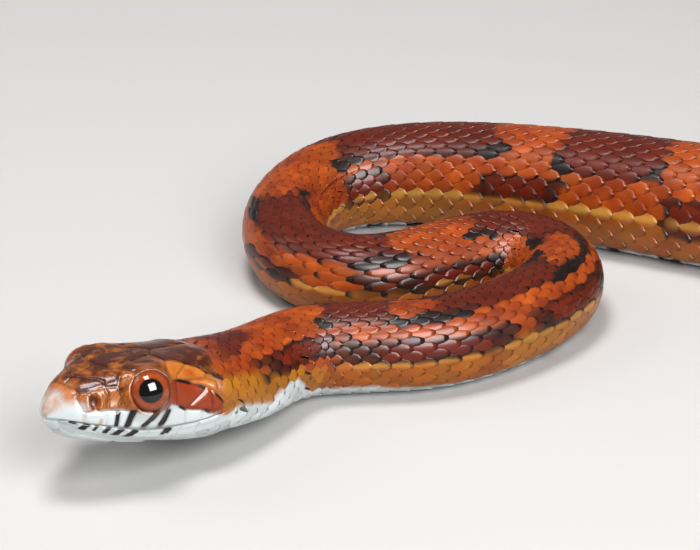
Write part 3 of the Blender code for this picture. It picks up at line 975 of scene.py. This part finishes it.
def bar_mask(s, side, bars):
    mask = np.zeros(s.shape)
    for low_s, high_s, low_g, high_g, width, strength in bars:
        t = (low_g - side) / (low_g - high_g)
        middle = low_s + (high_s - low_s) * t
        along = smooth(-0.12, 0.10, t) * smooth(1.12, 0.90, t)
        mask = np.maximum(mask, strength * bell(s, middle, width, 4) * along)
    return mask


def dashes(s, g, line_g, width, stretches):
    """Black dashes along a line of girth, over the given stretches of distance."""
    here = np.zeros(s.shape)
    for start, end in stretches:
        here = np.maximum(here, smooth(start - 0.25, start + 0.25, s) * smooth(end + 0.25, end - 0.25, s))
    return here * bell(g, line_g, width, 4)


def head_masks(s, g, relief_masks, names):
    """Masks of the head's own colours, from the plate a point is on and where it lies."""
    side = np.abs(g)
    label = np.array([""] + names)[relief_masks["plate"]]
    shade = np.full(s.shape, 0.5)
    for name, value in PLATE_SHADES.items():
        shade = np.where(label == name, value, shade)
    speckle = 0.02 * wave(s * 2.2, g * 5, 2.2)
    snout = smooth(1.75, 0.55, s - 1.3 * smooth(0.35, 0.85, side) + 6 * speckle)
    lips = smooth(-0.03, 0.02, side - lip_top(s) - speckle * 0.5) * smooth(0.7, 1.4, s)
    pale = np.maximum(lips, snout)
    stripe = under(side, stripe_top(s)) * over(side, stripe_low(s))
    stripe *= smooth(9.5, 9.8, s) * smooth(15.4, 15.1, s)
    below_crown = under(side, gold_top(s))
    gold = below_crown * over(side, stripe_top(s)) * smooth(9.2, 9.5, s)
    gold = np.maximum(gold * (s < GOLD_SPREADS), below_crown * (s >= GOLD_SPREADS))
    crown = over(side, np.where(s > EYE_REAR, gold_top(s), 0.83)) * smooth(20.0, 16.0, s)
    edge = np.zeros(s.shape)
    for curve, below, width, stretches in DASHED_EDGES:
        edge = np.maximum(edge, dashes(s, side, curve(s) + below, width, stretches))
    tan = np.maximum(bar_mask(s, side, TAN_BARS), smooth(0.80, 0.35, side) * smooth(2.6, 1.6, s))
    return {
        "crown": crown, "pale": pale * (1 - stripe), "bars": bar_mask(s, side, LIP_BARS), "stripe": stripe,
        "stripe_edge": edge, "gold": gold * (1 - stripe), "shade": shade, "tan": tan,
    }


# %% Skin mesh
HEAD_REACH = 18.5
HEAD_INSET = 0.04
BODY_INSET = 0.30
LOWEST_BELLY = 0.28


def skin_inset(s):
    """How far the skin lies inside the solids: hardly on the head, a scale's thickness behind it."""
    return HEAD_INSET + (BODY_INSET - HEAD_INSET) * smooth(15.2, 18.0, s)


def behind_head(s):
    """0 on the head, where its own colours hold, and 1 on the neck and the body."""
    return smooth(16.0, 20.0, s)


def skin_geometry():
    """Distances, girths, points and masks of the whole skin."""
    s = np.concatenate([np.full(p, d) for d, p in PLAN])
    g = np.concatenate([np.linspace(-2, 2, p, endpoint=False) for _, p in PLAN])
    base = place_on(s, g)
    normal = outward(s, g)
    head = s < HEAD_REACH
    relief = np.zeros(len(s))
    head_only = ("crown", "bars", "stripe", "stripe_edge", "shade", "tan")
    masks = {name: np.zeros(len(s)) for name in ("seam", "lip", "nostril", "orbit", "rim", *head_only)}
    found, orbit_shift, relief_masks, names = head_relief(s[head], g[head], base[head])
    relief[head] = found
    own = head_masks(s[head], g[head], relief_masks, names)
    coat = markings(s, g)
    behind = behind_head(s)
    for name in ("seam", "lip", "nostril", "orbit", "rim"):
        masks[name][head] = relief_masks[name]
    for name in head_only:
        masks[name][head] = own[name]
    for name in ("pale", "gold"):
        blended = np.zeros(len(s))
        blended[head] = own[name]
        masks[name] = blended * (1 - behind) + coat[name] * behind
    for name in ("saddle", "blotch", "black", "cream"):
        masks[name] = coat[name] * behind
    outside = base + normal * (relief - skin_inset(s))[:, None]
    outside[head] += orbit_shift
    outside[:, 2] = np.maximum(outside[:, 2], np.where(s > 20, LOWEST_BELLY, 0.0))
    return s, g, outside, masks


def ring_faces():
    """Faces between the rings of the plan, with a step-down where a ring has half the points."""
    faces = []
    start = 0
    for (_, near), (_, far) in zip(PLAN, PLAN[1:]):
        a = start + np.arange(near)
        b = start + near + np.arange(far)
        if near == far:
            a2, b2 = np.roll(a, -1), np.roll(b, -1)
            faces += np.stack([a, a2, b2, b], 1).tolist()
        else:
            for i in range(far):
                a0, a1, a2 = a[2 * i], a[2 * i + 1], a[(2 * i + 2) % near]
                b0, b1 = b[i], b[(i + 1) % far]
                faces += [[a0, a1, b0], [a1, b1, b0], [a1, a2, b1]]
        start += near
    return faces


SKIN_S, SKIN_G, SKIN_POINTS, SKIN_MASKS = skin_geometry()
heights = SKIN_POINTS[:, 2]
print("skin reaches z from", round(heights.min(), 2), "to", round(heights.max(), 2), "mm")


# %% Mesh helpers
def mesh_object(name, points, faces):
    """An object with a smooth mesh of the given points and faces."""
    data = bpy.data.meshes.new(name)
    data.from_pydata(points.tolist(), [], faces)
    data.update()
    made = bpy.data.objects.new(name, data)
    bpy.context.scene.collection.objects.link(made)
    data.shade_smooth()
    return made


def triangles(made):
    return sum(len(f.vertices) - 2 for f in made.data.polygons)


def face_outwards(made):
    tool = bmesh.new()
    tool.from_mesh(made.data)
    bmesh.ops.recalc_face_normals(tool, faces=tool.faces)
    tool.to_mesh(made.data)
    tool.free()


def store(made, name, values):
    """A number for each point of a mesh, under a name that materials can read."""
    layer = made.data.attributes.new(name, "FLOAT", "POINT")
    layer.data.foreach_set("value", np.ascontiguousarray(values, np.float32))


SNOUT_BULGE, TAIL_BULGE = 0.02, 0.3


def make_skin():
    """The rings joined up, with one more point to close each end, and every mask stored on it."""
    faces = ring_faces()
    count = len(SKIN_POINTS)
    first, last = PLAN[0][1], PLAN[-1][1]
    snout = SKIN_POINTS[:first].mean(0) - frames(np.array(0.0))[3].reshape(3) * SNOUT_BULGE
    tail = SKIN_POINTS[-last:].mean(0) + frames(np.array(TOTAL_LENGTH))[3].reshape(3) * TAIL_BULGE
    faces += [[count, (i + 1) % first, i] for i in range(first)]
    faces += [[count + 1, count - last + i, count - last + (i + 1) % last] for i in range(last)]
    points = metres(np.concatenate([SKIN_POINTS, [snout, tail]]))
    made = mesh_object("skin", points, faces)
    for name, values in SKIN_MASKS.items():
        store(made, name, np.concatenate([values, [values[0], values[-1]]]))
    store(made, "along", np.concatenate([SKIN_S, [0, TOTAL_LENGTH]]))
    store(made, "girth", np.concatenate([np.abs(SKIN_G), [0, 0]]))
    face_outwards(made)
    return made


skin = make_skin()
print("skin:", triangles(skin), "triangles")

# %% [markdown]
# ## Colour of skin and scales
# The colours are named as they look on the animal and mixed by the masks, from the widest area to
# the narrowest mark. Scales read the same masks as the skin, plus a seeded number each, which
# makes neighbours differ a little, and a rim value, along which painted shade darkens their edges so that
# each shows.

# %% Snake material
ORANGE = srgb(160, 70, 14)
DEEP_ORANGE = srgb(128, 46, 8)
CROWN_BROWN = srgb(70, 26, 10)
CROWN_TAN = srgb(172, 96, 34)
CROWN_DARK = srgb(36, 15, 8)
SADDLE_RED = srgb(84, 24, 8)
BLOTCH_RED = srgb(94, 26, 6)
GOLD = srgb(156, 96, 20)
HEAD_GOLD = srgb(182, 106, 34)
CREAM = srgb(206, 156, 74)
PALE = srgb(198, 206, 206)
BLACK = srgb(20, 11, 9)
STRIPE_RED = srgb(140, 50, 10)
# Painted shade at the scales' sides and tips
SCALE_EDGE_SHADE = srgb(80, 34, 18)
# Pale colour of the scales round the eye, with a painted glint on their rim
EYE_RIM_PALE_AND_GLINT = srgb(186, 100, 52)
SEAM_BROWN = srgb(70, 40, 30)
LIP_BROWN = srgb(52, 34, 30)
# Painted shade in the nostril's hollow
NOSTRIL_SHADE_BROWN = srgb(84, 32, 12)


def snake_material(name, on_scales):
    """The paint of the scales, or of the skin, which also shows the head's own colours."""
    made, shader, flow = new_material(name)

    def read(mask):
        return attribute(flow, mask)

    def noise(scale, detail, distortion=0.0):
        found = flow.node(
            "ShaderNodeTexNoise", {"noise_dimensions": "3D"},
            Vector=place, Scale=scale, Detail=detail, Distortion=distortion,
        )
        return flow.wrap(found.outputs[0])

    def colours(mask, first, second):
        mixed = flow.node("ShaderNodeMix", {"data_type": "RGBA"}, i0=mask, i6=first, i7=second)
        return flow.wrap(mixed.outputs[2])

    place = flow.wrap(flow.node("ShaderNodeTexCoord").outputs["Object"])
    mottled = noise(420.0, 3.0)
    colour = colours(((mottled - 0.35) * 3.0).clamp(), DEEP_ORANGE, ORANGE)
    if on_scales:
        colour = colour.blend(read("gold"), GOLD)
    else:
        patches = ((noise(700.0, 2.0) - 0.5) * 4.0).clamp()
        colour = colour.blend(read("gold"), colours(patches, HEAD_GOLD, ORANGE))
    colour = colour.blend(read("blotch"), BLOTCH_RED)
    colour = colour.blend(read("saddle"), SADDLE_RED)
    if not on_scales:
        marble = noise(520.0, 4.0, 1.6)
        light = (read("shade") + (marble - 0.56) * 3.0).clamp()
        crown = colours(light, CROWN_BROWN, CROWN_TAN)
        off = noise(380.0, 3.0, 2.5) - 0.5
        vein = ((0.035 - off.math("ABSOLUTE", off)) * 30.0).clamp()
        crown = crown.blend(vein * 0.65, CROWN_DARK)
        colour = colour.blend(read("crown"), crown)
        colour = colour.blend(read("stripe"), STRIPE_RED)
    colour = colour.blend(read("cream") * 0.8, CREAM)
    colour = colour.blend(read("pale"), PALE)
    if on_scales:
        dark = ((read("black") * 1.25 + read("rim") * 0.55 + mottled * 0.5 - 0.95) * 2.2).clamp()
        colour = colour.blend(dark, BLACK)
        shade = 0.78 + 0.44 * read("seed")
        grey = flow.node("ShaderNodeCombineColor", {"mode": "RGB"}, i0=shade, i1=shade, i2=shade)
        colour = colour.blend(1.0, flow.wrap(grey.outputs[0]), "MULTIPLY")
        # Painted shade: each scale darkens towards its sides and tip.
        colour = colour.blend(read("rim") * 0.22, SCALE_EDGE_SHADE)
    else:
        colour = colour.blend((read("black") * (0.7 + 0.6 * mottled)).clamp(), BLACK)
        colour = colour.blend((read("tan") * (0.2 + 1.5 * (marble - 0.3))).clamp(), CROWN_TAN)
        colour = colour.blend((read("bars") * 1.7 + read("stripe_edge") * 1.2).clamp(), BLACK)
        # The orbit's rim is painted pale: partly the pale colour of the scales round the eye, partly a
        # painted glint.
        colour = colour.blend(read("rim") * 0.2, EYE_RIM_PALE_AND_GLINT)
        seam_strength = read("seam") * (0.55 - 0.40 * read("pale"))
        colour = colour.blend(seam_strength, SEAM_BROWN, "MULTIPLY")
        colour = colour.blend(read("lip") * 0.6, LIP_BROWN)
        # Painted shade in the nostril's hollow.
        colour = colour.blend(read("nostril"), NOSTRIL_SHADE_BROWN)
    flow.feed(shader.inputs["Base Color"], colour)
    flow.feed(shader.inputs["Roughness"], (0.30 if on_scales else 0.24) + 0.16 * mottled)
    shader.inputs["Specular IOR Level"].default_value = 0.18 if on_scales else 0.2
    shader.inputs["Coat Weight"].default_value = 0.12 if on_scales else 0.3
    shader.inputs["Coat Roughness"].default_value = 0.18 if on_scales else 0.12
    fine = noise(2600.0, 2.0)
    bump = flow.node("ShaderNodeBump", Height=fine)
    bump.inputs["Strength"].default_value = 0.10
    bump.inputs["Distance"].default_value = 0.0001
    flow.feed(shader.inputs["Normal"], flow.wrap(bump.outputs[0]))
    return made


skin_material = snake_material("snake_skin_paint", False)
scale_material = snake_material("snake_scale_paint", True)
skin.data.materials.append(skin_material)

# %% [markdown]
# ## Scales
# Behind the head the body is covered by rows of small overlapping scales, with one broad scute
# across the belly for each row of them. They could be placed on the bent body one by one, each
# turned to fit. It is easier to lay them out flat: the body is unrolled into a plane of distance
# and girth, Geometry Nodes put one template on every point there, and then every vertex is
# carried from the plane to the bent body, where the template's height becomes height over skin.
# The carrying is done by a guide mesh, a copy of the skin's surface with the plane as its UV map.

# %% Guide surface
GUIDE_MARGIN = 0.8
GUIDE_REACH = 2 + GUIDE_MARGIN


def plane_uv(s, g):
    return s / TOTAL_LENGTH, (g + GUIDE_REACH) / (2 * GUIDE_REACH)


def make_guide():
    """The skin's surface without relief, wider than a full turn, with its unrolled place as UV."""
    distances = np.concatenate([np.arange(8.0, 30.0, 0.25), np.arange(30.0, TOTAL_LENGTH + 0.1, 0.75)])
    girths = np.linspace(-GUIDE_REACH, GUIDE_REACH, 141)
    s, g = (a.ravel() for a in np.meshgrid(distances, girths, indexing="ij"))
    wrapped = np.where(g > 2, g - 4, np.where(g < -2, g + 4, g))
    normal = outward(s, wrapped)
    points = place_on(s, wrapped) - normal * skin_inset(s)[:, None]
    points[:, 2] = np.maximum(points[:, 2], LOWEST_BELLY)
    rows, columns = len(distances), len(girths)
    i = np.arange(rows * columns).reshape(rows, columns)
    faces = np.stack([i[:-1, :-1], i[:-1, 1:], i[1:, 1:], i[1:, :-1]], -1).reshape(-1, 4)
    guide = mesh_object("guide", metres(points), faces.tolist())
    u, v = plane_uv(s, g)
    layer = guide.data.attributes.new("plane", "FLOAT_VECTOR", "CORNER")
    corners = np.stack([u, v, np.zeros(len(u))], 1)[faces.ravel()]
    layer.data.foreach_set("vector", corners.ravel().astype(np.float32))
    layer = guide.data.attributes.new("outward", "FLOAT_VECTOR", "POINT")
    layer.data.foreach_set("vector", normal.ravel().astype(np.float32))
    return guide


guide = make_guide()
print("guide:", len(guide.data.polygons), "faces")


# %% Templates
def template(name, outline, lengthwise, crosswise, rise, crown, droop):
    """A closed scale: x from root to tip, y across, z height in mm. outline gives its half width."""
    points, faces = [], []
    for i in range(lengthwise + 1):
        t = i / lengthwise
        for j in range(crosswise + 1):
            v = -1 + 2 * j / crosswise
            bulge = crown * (1 - v * v) * math.sin(math.pi * min(0.97, 0.12 + 0.85 * t)) ** 0.6
            points.append((t, v * outline(t), rise(t) + bulge - droop * abs(v) ** 3))
    across = crosswise + 1
    for i in range(lengthwise):
        for j in range(crosswise):
            a = i * across + j
            faces.append((a, a + across, a + across + 1, a + 1))
    rim = [*range(across), *(i * across + crosswise for i in range(1, lengthwise + 1))]
    rim += [lengthwise * across + j for j in range(crosswise - 1, -1, -1)]
    rim += [i * across for i in range(lengthwise - 1, 0, -1)]
    faces.append(tuple(rim))
    points = np.array(points)
    made = mesh_object(name, points, faces)
    flat_v = np.array([-1 + 2 * (k % across) / crosswise for k in range(len(points))])
    # The rim value marks a scale's sides and tip. The paint lays painted shade along it and gathers black
    # markings there.
    rim_value = np.maximum(np.abs(flat_v) ** 4, smooth(0.80, 1.0, points[:, 0]))
    store(made, "rim", rim_value)
    layer = made.data.attributes.new("patch", "FLOAT_VECTOR", "POINT")
    patch = np.stack([points[:, 0] - 0.5, flat_v / 2, np.zeros(len(points))], 1)
    layer.data.foreach_set("vector", patch.ravel().astype(np.float32))
    return made


LEAF_WIDEST = 0.58
LEAF_ROOT = 0.30
LEAF_TAPER = 0.44
LEAF_TIP = 0.16


def leaf_outline(t):
    """Half width of a back scale: narrow root, widest past the middle, blunt tip."""
    if t < LEAF_WIDEST:
        return LEAF_ROOT + (1 - LEAF_ROOT) * math.sin(math.pi * min(1.0, 0.10 + 0.80 * t)) ** 0.8
    return max(LEAF_TIP, 1 - ((t - LEAF_WIDEST) / LEAF_TAPER) ** 2.2) ** 0.75


def scute_outline(t):
    return 1.0 - 0.10 * t**3


leaf = template("leaf_scale", leaf_outline, 6, 6, lambda t: -0.05 + 0.18 * t, 0.06, 0.05)
scute = template("belly_scute", scute_outline, 4, 14, lambda t: -0.05 + 0.20 * t, 0.0, 0.16)
print("back scale:", len(leaf.data.polygons), "faces; belly scute:", len(scute.data.polygons), "faces")


# %% Node tree that wraps a flat layout round the body
def wrapping_tree():
    """Nodes that put a template on every flat root and carry the result to the guide's surface."""
    tree = bpy.data.node_groups.new("wrap_scales", "GeometryNodeTree")
    for label, kind, way in (
        ("Geometry", "NodeSocketGeometry", "INPUT"), ("Template", "NodeSocketObject", "INPUT"),
        ("Guide", "NodeSocketObject", "INPUT"), ("Paint", "NodeSocketMaterial", "INPUT"),
        ("Body length", "NodeSocketFloat", "INPUT"), ("Girth reach", "NodeSocketFloat", "INPUT"),
        ("Height unit", "NodeSocketFloat", "INPUT"), ("Geometry", "NodeSocketGeometry", "OUTPUT"),
    ):
        tree.interface.new_socket(label, in_out=way, socket_type=kind)
    tool = Flow(tree, None)
    start = tool.node("NodeGroupInput")
    given = {socket.name: tool.wrap(socket) for socket in start.outputs}

    def out(node, key=0):
        return tool.wrap(node.outputs[key])

    def named(attribute_name):
        return out(tool.node(
            "GeometryNodeInputNamedAttribute", {"data_type": "FLOAT_VECTOR"}, Name=attribute_name,
        ))

    shape = tool.node("GeometryNodeObjectInfo", Object=given["Template"])
    surface = tool.node("GeometryNodeObjectInfo", Object=given["Guide"])
    spread = tool.node(
        "GeometryNodeInstanceOnPoints",
        Points=given["Geometry"], Instance=out(shape, "Geometry"), Scale=named("size"),
    )
    solid = tool.node("GeometryNodeRealizeInstances", Geometry=out(spread))
    position = tool.node("GeometryNodeInputPosition")
    kept = tool.node(
        "GeometryNodeStoreNamedAttribute", {"data_type": "FLOAT_VECTOR", "domain": "POINT"},
        Geometry=out(solid), Name="flat", Value=out(position),
    )
    parts = tool.node("ShaderNodeSeparateXYZ", Vector=named("flat"))
    along, girth, height = (tool.wrap(socket) for socket in parts.outputs)
    u = tool.math("DIVIDE", along, given["Body length"])
    v = tool.math("DIVIDE", girth + given["Girth reach"], given["Girth reach"] * 2.0)
    uv = out(tool.node("ShaderNodeCombineXYZ", X=u, Y=v))

    def sampled(value):
        return out(tool.node(
            "GeometryNodeSampleUVSurface", {"data_type": "FLOAT_VECTOR"},
            Mesh=out(surface, "Geometry"), Value=value, i2=named("plane"), i3=uv,
        ))

    lifted = tool.node(
        "ShaderNodeVectorMath", {"operation": "SCALE"},
        Vector=sampled(named("outward")), Scale=height * given["Height unit"],
    )
    place = tool.node(
        "ShaderNodeVectorMath", {"operation": "ADD"}, i0=sampled(out(position)), i1=out(lifted),
    )
    moved = tool.node("GeometryNodeSetPosition", Geometry=out(kept), Position=out(place))
    painted = tool.node("GeometryNodeSetMaterial", Geometry=out(moved), Material=given["Paint"])
    end = tool.node("NodeGroupOutput")
    tree.links.new(painted.outputs[0], end.inputs[0])
    return tree


WRAP = wrapping_tree()


# %% Wrapping a layout
def wrapped(name, roots, sizes, seeds, shape):
    """Scales of one template at flat roots, as one plain mesh on the body."""
    points = mesh_object(name + "_layout", np.concatenate([roots, np.zeros((len(roots), 1))], 1), [])
    layer = points.data.attributes.new("size", "FLOAT_VECTOR", "POINT")
    layer.data.foreach_set("vector", sizes.ravel().astype(np.float32))
    layer = points.data.attributes.new("root", "FLOAT_VECTOR", "POINT")
    layer.data.foreach_set("vector", np.concatenate([roots, seeds[:, None]], 1).ravel().astype(np.float32))
    modifier = points.modifiers.new("wrap", "NODES")
    modifier.node_group = WRAP
    values = {
        "Template": shape, "Guide": guide, "Paint": scale_material, "Body length": TOTAL_LENGTH,
        "Girth reach": GUIDE_REACH, "Height unit": MM,
    }
    for item in WRAP.interface.items_tree:
        if item.in_out == "INPUT" and item.name in values:
            modifier[item.identifier] = values[item.name]
    graph = bpy.context.evaluated_depsgraph_get()
    mesh = bpy.data.meshes.new_from_object(points.evaluated_get(graph), depsgraph=graph)
    bpy.data.objects.remove(points)
    made = bpy.data.objects.new(name, mesh)
    bpy.context.scene.collection.objects.link(made)
    return made


def read_vectors(made, name):
    layer = made.data.attributes[name]
    values = np.empty(len(layer.data) * 3, np.float32)
    layer.data.foreach_get("vector", values)
    return values.reshape(-1, 3).astype(float)


PATCH = 0.003
MASK_SHARE = 0.45


def finish_coat(made, start, end):
    """Masks, seeds and the baking map of a wrapped piece, then its place on the body."""
    flat, root, patch = (read_vectors(made, name) for name in ("flat", "root", "patch"))
    s = flat[:, 0] * (1 - MASK_SHARE) + (root[:, 0] + 0.4) * MASK_SHARE
    g = flat[:, 1] * (1 - MASK_SHARE) + root[:, 1] * MASK_SHARE
    g = np.where(g > 2, 4 - g, np.where(g < -2, -4 - g, g))
    for name, values in coat_masks(s, g).items():
        store(made, name, values)
    store(made, "seed", root[:, 2])
    u = 0.02 + 0.95 * (root[:, 0] - start) / (end - start) + PATCH * (patch[:, 0] + 0.5)
    v = 0.5 + 0.46 * root[:, 1] / 2 + PATCH * patch[:, 1]
    corners = np.empty(len(made.data.loops), np.int32)
    made.data.loops.foreach_get("vertex_index", corners)
    layer = made.data.uv_layers.new(name="OFBake")
    layer.data.foreach_set("uv", np.stack([u, v], 1)[corners].ravel().astype(np.float32))
    for name in ("flat", "root", "patch", "size"):
        if name in made.data.attributes:
            made.data.attributes.remove(made.data.attributes[name])
    made.data.shade_smooth()
    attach(made, "root")


def coat_masks(s, g):
    """The markings, which set in behind the head, and the throat's pale scales."""
    masks = markings(s, g)
    behind = behind_head(s)
    for name in ("saddle", "blotch", "black"):
        masks[name] = masks[name] * behind
    chin = smooth(1.0, 1.06, np.abs(g)) * smooth(24.0, 19.0, s)
    masks["pale"] = np.maximum(masks["pale"], chin)
    return masks


# %% Scale rows
scale_pitch = size_curve((
    (14, 1.15), (20, 1.35), (30, 1.75), (60, 1.95), (155, 2.5), (330, 3.0), (560, 2.5), (617, 2.1),
    (660, 1.7), (700, 1.1), (720, 0.6),
))
DORSAL_EDGE = 1.50
# Distance from which a number of rows holds
ROWS = (
    (14.0, 27), (470.0, 23), (560.0, 19), (617.0, 17), (640.0, 13), (662.0, 11), (684.0, 9), (704.0, 7),
    (719.0, 0),
)
COAT_LENGTHS = (
    ("scales_neck", 14, 60), ("scales_loops", 60, 110), ("scales_front", 110, 180),
    ("scales_body_1", 180, 260), ("scales_body_2", 260, 340), ("scales_body_3", 340, 420),
    ("scales_body_4", 420, 500), ("scales_body_5", 500, 600), ("scales_tail", 600, 720),
)
SCALE_LENGTH = 1.50
SCALE_SPREAD = 1.02
SCALE_ROOT = 0.62
FIRST_STATION, LAST_STATION = 10.0, 718.5
THROAT_FROM, THROAT_TO = 10.6, 23.0
CHEEK_FROM = 9.0
# Girth below which a limit holds, and the distance from which scales root there
FIRST_ROOTS = ((0.22, 17.0), (0.46, 16.3), (0.60, 15.2), (1.02, 15.5), (1.24, 16.3))


def stations():
    """Distances of the scale rows that go round the body, closer together where scales are smaller."""
    found = [FIRST_STATION]
    while found[-1] < LAST_STATION:
        found.append(found[-1] + float(scale_pitch(found[-1])))
    return np.array(found)


STATIONS = stations()


def rows_at(s):
    return [rows for start, rows in ROWS if s >= start][-1] if s >= ROWS[0][0] else ROWS[0][1]


def allowed(s, g):
    """Whether a scale may root here: not on the head's plates or the belly's scutes."""
    side = abs(g)
    if side > DORSAL_EDGE:
        return THROAT_FROM < s < THROAT_TO
    for edge, start in FIRST_ROOTS:
        if side < edge:
            return s > start
    return s > CHEEK_FROM


def back_scales():
    """Flat roots and sizes of all back, flank and throat scales."""
    roots, sizes = [], []
    for k, station in enumerate(STATIONS):
        rows = rows_at(station)
        if rows == 0:
            continue
        pitch = float(scale_pitch(station))
        gap = 2 * DORSAL_EDGE / rows
        count = int(2 / gap) + 1 if station < THROAT_TO else rows // 2
        for row in range(-count, count + 1):
            share = row * gap / DORSAL_EDGE
            g = DORSAL_EDGE * share * (0.80 + 0.20 * min(1.3, abs(share)) ** 2)
            wide = 0.80 + 0.60 * min(1.0, abs(share)) ** 2
            s = station + (0.5 * pitch if row % 2 else 0.0)
            if abs(g) > 1.98 or not allowed(s, g):
                continue
            roots.append((s - SCALE_ROOT * pitch, g))
            flatness = 0.45 + 0.55 * float(smooth(16, 34, s))
            thick = flatness * min(1.0, 0.55 + pitch / 5)
            sizes.append((SCALE_LENGTH * pitch, gap * wide * SCALE_SPREAD, thick))
    return np.array(roots), np.array(sizes)


SCALE_SEED = 11
# The neck's piece takes in the throat's scales, which root further forward
NECK_ROOTS, NECK_MAP = 9, 8
roots, sizes = back_scales()
rng = np.random.default_rng(SCALE_SEED)
seeds = rng.random(len(roots))
print(len(roots), "back scales")
for name, start, end in COAT_LENGTHS:
    first_root, map_start = (NECK_ROOTS, NECK_MAP) if name == "scales_neck" else (start, start)
    here = (roots[:, 0] >= first_root) & (roots[:, 0] < end)
    made = wrapped(name, roots[here], sizes[here], seeds[here], leaf)
    finish_coat(made, map_start, end)
    print(name, int(here.sum()), "scales,", triangles(made), "triangles")


# %% Belly scutes
FIRST_SCUTE, LAST_SCUTE = 22.5, 717
SCUTE_LENGTH, SCUTE_ROOT = 1.45, 0.6
TAIL_SCUTE_GIRTH = 1.74


def belly_scutes():
    """Roots and sizes of the broad scutes up to the vent, and of the paired ones under the tail."""
    whole_roots, whole_sizes, half_roots, half_sizes = [], [], [], []
    for station in STATIONS:
        pitch = float(scale_pitch(station))
        if FIRST_SCUTE <= station < VENT:
            whole_roots.append((station - SCUTE_ROOT * pitch, 2.0))
            whole_sizes.append((SCUTE_LENGTH * pitch, 2.0 - DORSAL_EDGE + 0.06, 1.0))
        elif VENT <= station < LAST_SCUTE:
            for side in (-1, 1):
                root = station - SCUTE_ROOT * pitch + 0.25 * pitch * side
                half_roots.append((root, side * TAIL_SCUTE_GIRTH))
                half_sizes.append((SCUTE_LENGTH * pitch, 0.30, 0.6))
    return [np.array(a) for a in (whole_roots, whole_sizes, half_roots, half_sizes)]


whole_roots, whole_sizes, half_roots, half_sizes = belly_scutes()
made = wrapped("belly_scutes", whole_roots, whole_sizes, rng.random(len(whole_roots)) * 0.4 + 0.4, scute)
finish_coat(made, 20, 620)
made = wrapped("tail_scutes", half_roots, half_sizes, rng.random(len(half_roots)) * 0.4 + 0.4, leaf)
finish_coat(made, 600, 720)
print(len(whole_roots), "belly scutes and", len(half_roots), "under the tail")

# %% [markdown]
# ## Eyes
# A snake has no lids: a clear plate covers the eye, so it is always open and shines. The pupil is
# round, in a copper iris that is darker at its rim. A ball with the colours in rings round the
# way it looks is enough, as the plate over it is as round as the ball. Its hidden back is pressed
# flat, to stay inside the head. A strong clear coat gives the catch-light.

# %% Eye balls
PUPIL = 0.58
PUPIL_FORWARD = 31.0
PUPIL_UP = 0.22
# The share of its depth that the back keeps, and where the back begins as a share of cap_edge
EYE_BACK = 0.35
EYE_BACK_FROM = 0.6


def make_eye(side, word):
    """A ball at the solid eye's place, with the distance from its line of sight stored on it."""
    low, high = (np.array(corner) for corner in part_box(f"eye_{word}"))
    centre, radius = (low + high) / 2, (high - low).max() / 2
    look = look_way(side, PUPIL_FORWARD, PUPIL_UP)
    tool = bmesh.new()
    bmesh.ops.create_uvsphere(tool, u_segments=64, v_segments=48, radius=radius)
    turn = Vector((0, 0, 1)).rotation_difference(Vector(look))
    for point in tool.verts:
        point.co = turn @ point.co
    data = bpy.data.meshes.new(f"eye_{word}_ball")
    tool.to_mesh(data)
    tool.free()
    made = bpy.data.objects.new(f"eye_{word}_ball", data)
    bpy.context.scene.collection.objects.link(made)
    places = np.array([v.co for v in data.vertices])
    forward = places @ look
    radial = np.sqrt(np.maximum((places**2).sum(1) - forward**2, 0)) / (ORBIT * MM)
    store(made, "from_sight", np.where(forward > 0, radial, 2.0))
    opening = look_way(side, LOOKS_FORWARD, LOOKS_UP)
    behind_ring = np.minimum(places @ opening - cap_edge() * MM * EYE_BACK_FROM, 0)
    places -= np.outer(behind_ring * (1 - EYE_BACK), opening)
    data.vertices.foreach_set("co", (places + centre).ravel().astype(np.float32))
    data.shade_smooth()
    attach(made, "root")
    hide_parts(f"eye_{word}")
    return made


# %% Eye paint
DARK_COPPER = srgb(112, 40, 12)
LIGHT_COPPER = srgb(178, 80, 30)
IRIS_RIM = srgb(70, 22, 12)
IRIS_INSIDE = srgb(54, 16, 8)
PUPIL_BLACK = srgb(6, 4, 5)


def eye_material():
    """Copper streaks between a dark rim and a round pupil, under a clear coat."""
    made, shader, flow = new_material("eye_paint")
    sight = attribute(flow, "from_sight")
    place = flow.wrap(flow.node("ShaderNodeTexCoord").outputs["Object"])
    streaks = flow.node("ShaderNodeTexNoise", Vector=place, Scale=1500.0, Detail=4.0)
    mixed = flow.node(
        "ShaderNodeMix", {"data_type": "RGBA"},
        i0=flow.wrap(streaks.outputs[0]), i6=DARK_COPPER, i7=LIGHT_COPPER,
    )
    copper = flow.wrap(mixed.outputs[2])
    outer = ((sight - 0.80) * 4.0).clamp()
    copper = copper.blend(outer * 0.85, IRIS_RIM)
    edge = ((sight - PUPIL) * 9.0).clamp()
    copper = copper.blend((1.0 - edge) * 0.6, IRIS_INSIDE)
    pupil = ((PUPIL + 0.02 - sight) * 40.0).clamp()
    copper = copper.blend(pupil, PUPIL_BLACK)
    flow.feed(shader.inputs["Base Color"], copper)
    shader.inputs["Roughness"].default_value = 0.4
    shader.inputs["Specular IOR Level"].default_value = 0.0
    shader.inputs["Coat Weight"].default_value = 1.0
    shader.inputs["Coat Roughness"].default_value = 0.02
    return made


eye_paint = eye_material()
for side, word in ((1, "left"), (-1, "right")):
    ball = make_eye(side, word)
    ball.data.materials.append(eye_paint)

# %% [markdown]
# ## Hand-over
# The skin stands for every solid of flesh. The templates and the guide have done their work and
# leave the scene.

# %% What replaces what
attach(skin, "root")
flesh = [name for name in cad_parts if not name.startswith("eye_")]
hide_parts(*flesh)
for helper in (leaf, scute, guide):
    bpy.data.objects.remove(helper)
